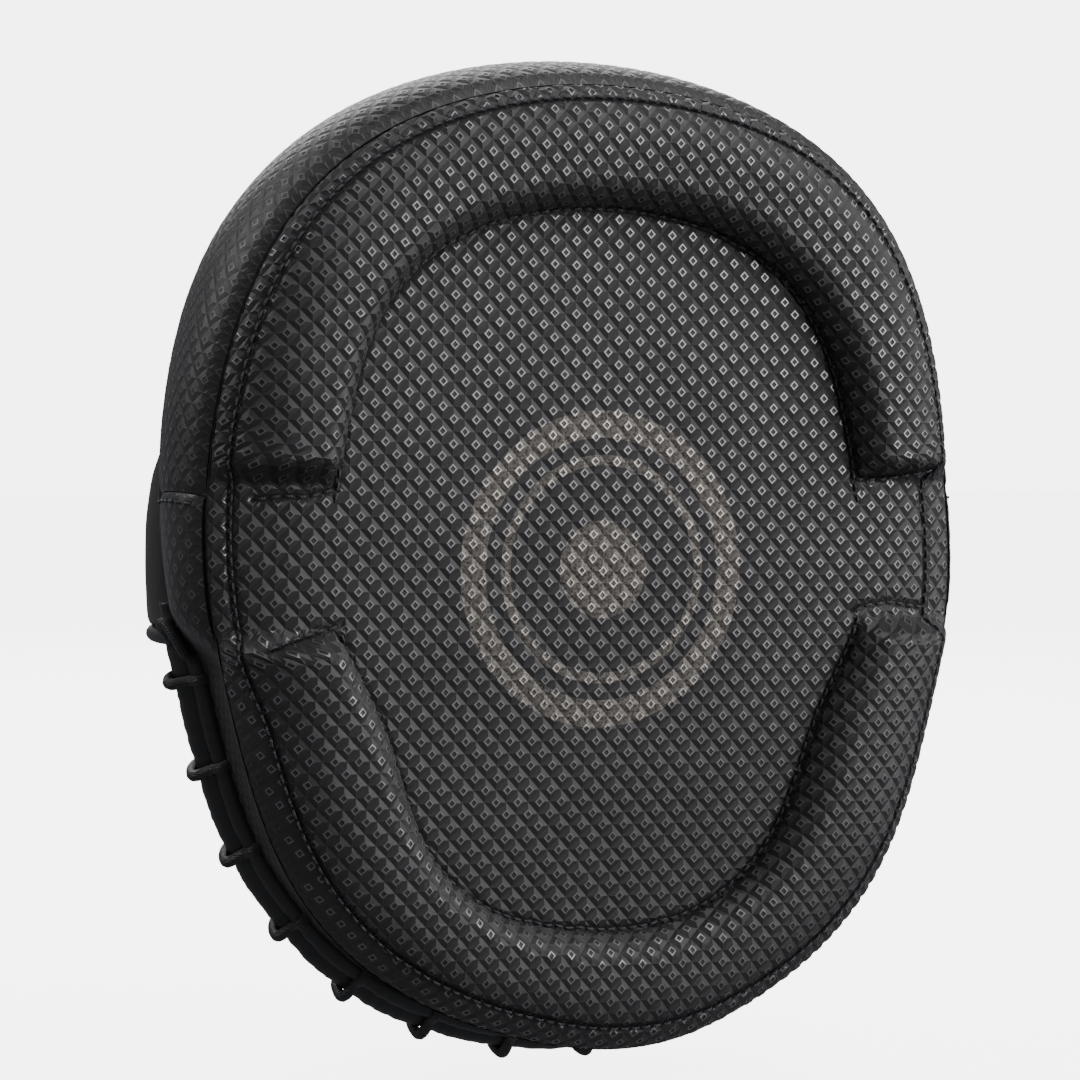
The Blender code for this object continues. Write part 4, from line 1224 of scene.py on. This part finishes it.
def build():
    slots = {row["node"]: row["material_slot"] for row in frame["record"]["subparts"]}
    for node, piece in frame["nodes"].items():
        piece.data.materials.clear()
        piece.data.materials.append(LOOKS[slots[node]])
    make_face()
    make_band("band_upper", -CROSS_SEAM, CROSS_SEAM, "gusset_upper", lambda share: GUSSET_STUD, 0.0011)
    lower_start = CROSS_SEAM + 0.12
    make_band("band_lower", lower_start, 360.0 - lower_start, "gusset_lower", lower_stud, 0.0005)
    whips = lacing_angles()
    make_roll("front_roll", front_centre, front_size, 95.5, 264.5, (), whips, 0.88, 1.15)
    welt_end = 360.0 - WELT_START
    make_roll("rear_roll", rear_centre, rear_size, WELT_START, welt_end, ["lacing_welt"], whips, 0.90)
    make_roll("rear_hem", hem_centre, hem_size, -WELT_START, WELT_START)
    make_inner_wall()
    make_lace(whips)
    lines = face_lines()
    # Painted shade along the stitched grooves.
    paint_groove_shade("face_groove_painted_shade", lines)
    stitches("face_stitches", lines)
    stitches("band_stitches", band_lines())
    make_back()
    hood = plump("hood_padded", ["finger_hood_cover", "finger_hood_foam", "finger_hood_lining"], 0.0036, 3.0,
                 hood_held, 0.0022)
    plump("thumb_padded", ["thumb_sleeve_cover", "thumb_sleeve_foam"], 0.0028, 3.0, thumb_held, 0.0016)
    plump("palm_ball", ["palm_ball_cover", "palm_ball_core"], 0.0030, 3.0, foot_held, 0.0012)
    plump("wrist_pad", ["wrist_pad_cover", "wrist_pad_foam"], 0.0030, 4.0, foot_held, 0.0018)
    pocket_binding("hood_binding", HOOD, 0.0074, "finger_hood_binding")
    pocket_stitches("hood_stitches", HOOD, hood)
    pocket_binding("thumb_binding", THUMB, 0.0048, "thumb_sleeve_binding")
    make_wrist()


# ---- studio
STAGE_HALF = 6.0
STAGE_HEIGHT = 8.0
CAMERA_TURN = (27.454, 2.123, -0.36)    # yaw, pitch and roll in degrees
CAMERA_TARGET = (-0.0191, -0.041, 0.01167)
CAMERA_DISTANCE = 0.8336
LIGHTS = (                   # azimuth, elevation, distance, width, height and power
    ("key", 40.0, 13.0, 1.6, 0.75, 0.8, 14.0),
    ("right", 78.0, 18.0, 1.5, 0.6, 0.9, 5.5),
    ("top", 32.0, 60.0, 1.4, 1.0, 0.7, 8.0),
    ("side", -116.0, 40.0, 1.3, 0.5, 0.8, 6.0),
    ("back", 160.0, 35.0, 1.5, 1.0, 1.0, 15.0))


def glowing(name, strength):
    """A pale surface that glows evenly."""
    look = bpy.data.materials.new(name)
    look.use_nodes = True
    shader = look.node_tree.nodes["Principled BSDF"]
    shader.inputs["Base Color"].default_value = (0.86, 0.86, 0.86, 1.0)
    shader.inputs["Roughness"].default_value = 0.7
    shader.inputs["Emission Color"].default_value = (1.0, 1.0, 1.0, 1.0)
    shader.inputs["Emission Strength"].default_value = strength
    return look


def plane(name, corners, look):
    """A flat piece of the stage that sends no light onto the mitt."""
    piece = mesh_object(name, corners, [(0, 1, 2, 3)], look, smooth=False)
    piece.visible_diffuse = False
    piece.visible_glossy = False


def area(name, azimuth, elevation, distance, width, height, power):
    """A soft light aimed at the mitt; azimuth 0 is in front of the face, turning towards +X."""
    turn, lift = math.radians(azimuth), math.radians(elevation)
    way = Vector((math.sin(turn) * math.cos(lift), -math.cos(turn) * math.cos(lift), math.sin(lift)))
    light = bpy.data.lights.new(name, 'AREA')
    light.shape = 'RECTANGLE'
    light.size, light.size_y = width, height
    light.energy = power
    lamp = bpy.data.objects.new(name, light)
    lamp.location = Vector((0.0, -0.02, 0.0)) + way * distance
    lamp.rotation_mode = 'QUATERNION'
    lamp.rotation_quaternion = way.to_track_quat('Z', 'Y')
    bpy.context.scene.collection.objects.link(lamp)


def make_camera():
    yaw, pitch, roll = (math.radians(angle) for angle in CAMERA_TURN)
    right = Vector((math.cos(yaw), -math.sin(yaw), 0.0))
    back = Vector((-math.sin(yaw) * math.cos(pitch), -math.cos(yaw) * math.cos(pitch), math.sin(pitch)))
    up = back.cross(right)
    turned_right = right * math.cos(roll) - up * math.sin(roll)
    turned_up = right * math.sin(roll) + up * math.cos(roll)
    lens = bpy.data.cameras.new("camera")
    lens.lens = 110.0
    lens.sensor_width = 36.0
    lens.clip_start = 0.05
    camera = bpy.data.objects.new("camera", lens)
    place = Vector(CAMERA_TARGET) + back * CAMERA_DISTANCE
    camera.matrix_world = Matrix((
        (turned_right.x, turned_up.x, back.x, place.x),
        (turned_right.y, turned_up.y, back.y, place.y),
        (turned_right.z, turned_up.z, back.z, place.z),
        (0.0, 0.0, 0.0, 1.0)))
    bpy.context.scene.collection.objects.link(camera)
    bpy.context.scene.camera = camera


def studio():
    ground = cad_low.z - 0.0005
    corners = [(-1.0, -1.0), (1.0, -1.0), (1.0, 1.0), (-1.0, 1.0)]
    plane("floor", [(x * STAGE_HALF, y * STAGE_HALF, ground) for x, y in corners], glowing("floor_look", 5.0))
    wall_look = glowing("backdrop_look", 5.3)
    out = STAGE_HALF - 0.1
    for number, name in enumerate(("south", "east", "north", "west")):
        ax, ay = (out * side for side in corners[number])
        bx, by = (out * side for side in corners[(number + 1) % 4])
        wall = [(ax, ay, ground), (bx, by, ground), (bx, by, STAGE_HEIGHT), (ax, ay, STAGE_HEIGHT)]
        plane("backdrop_" + name, wall, wall_look)
    world = bpy.data.worlds.new("studio")
    world.use_nodes = True
    sky = world.node_tree.nodes["Background"]
    sky.inputs["Color"].default_value = (0.93, 0.95, 1.0, 1.0)
    sky.inputs["Strength"].default_value = 0.22
    bpy.context.scene.world = world
    for light in LIGHTS:
        area(*light)
    make_camera()


build()
studio()
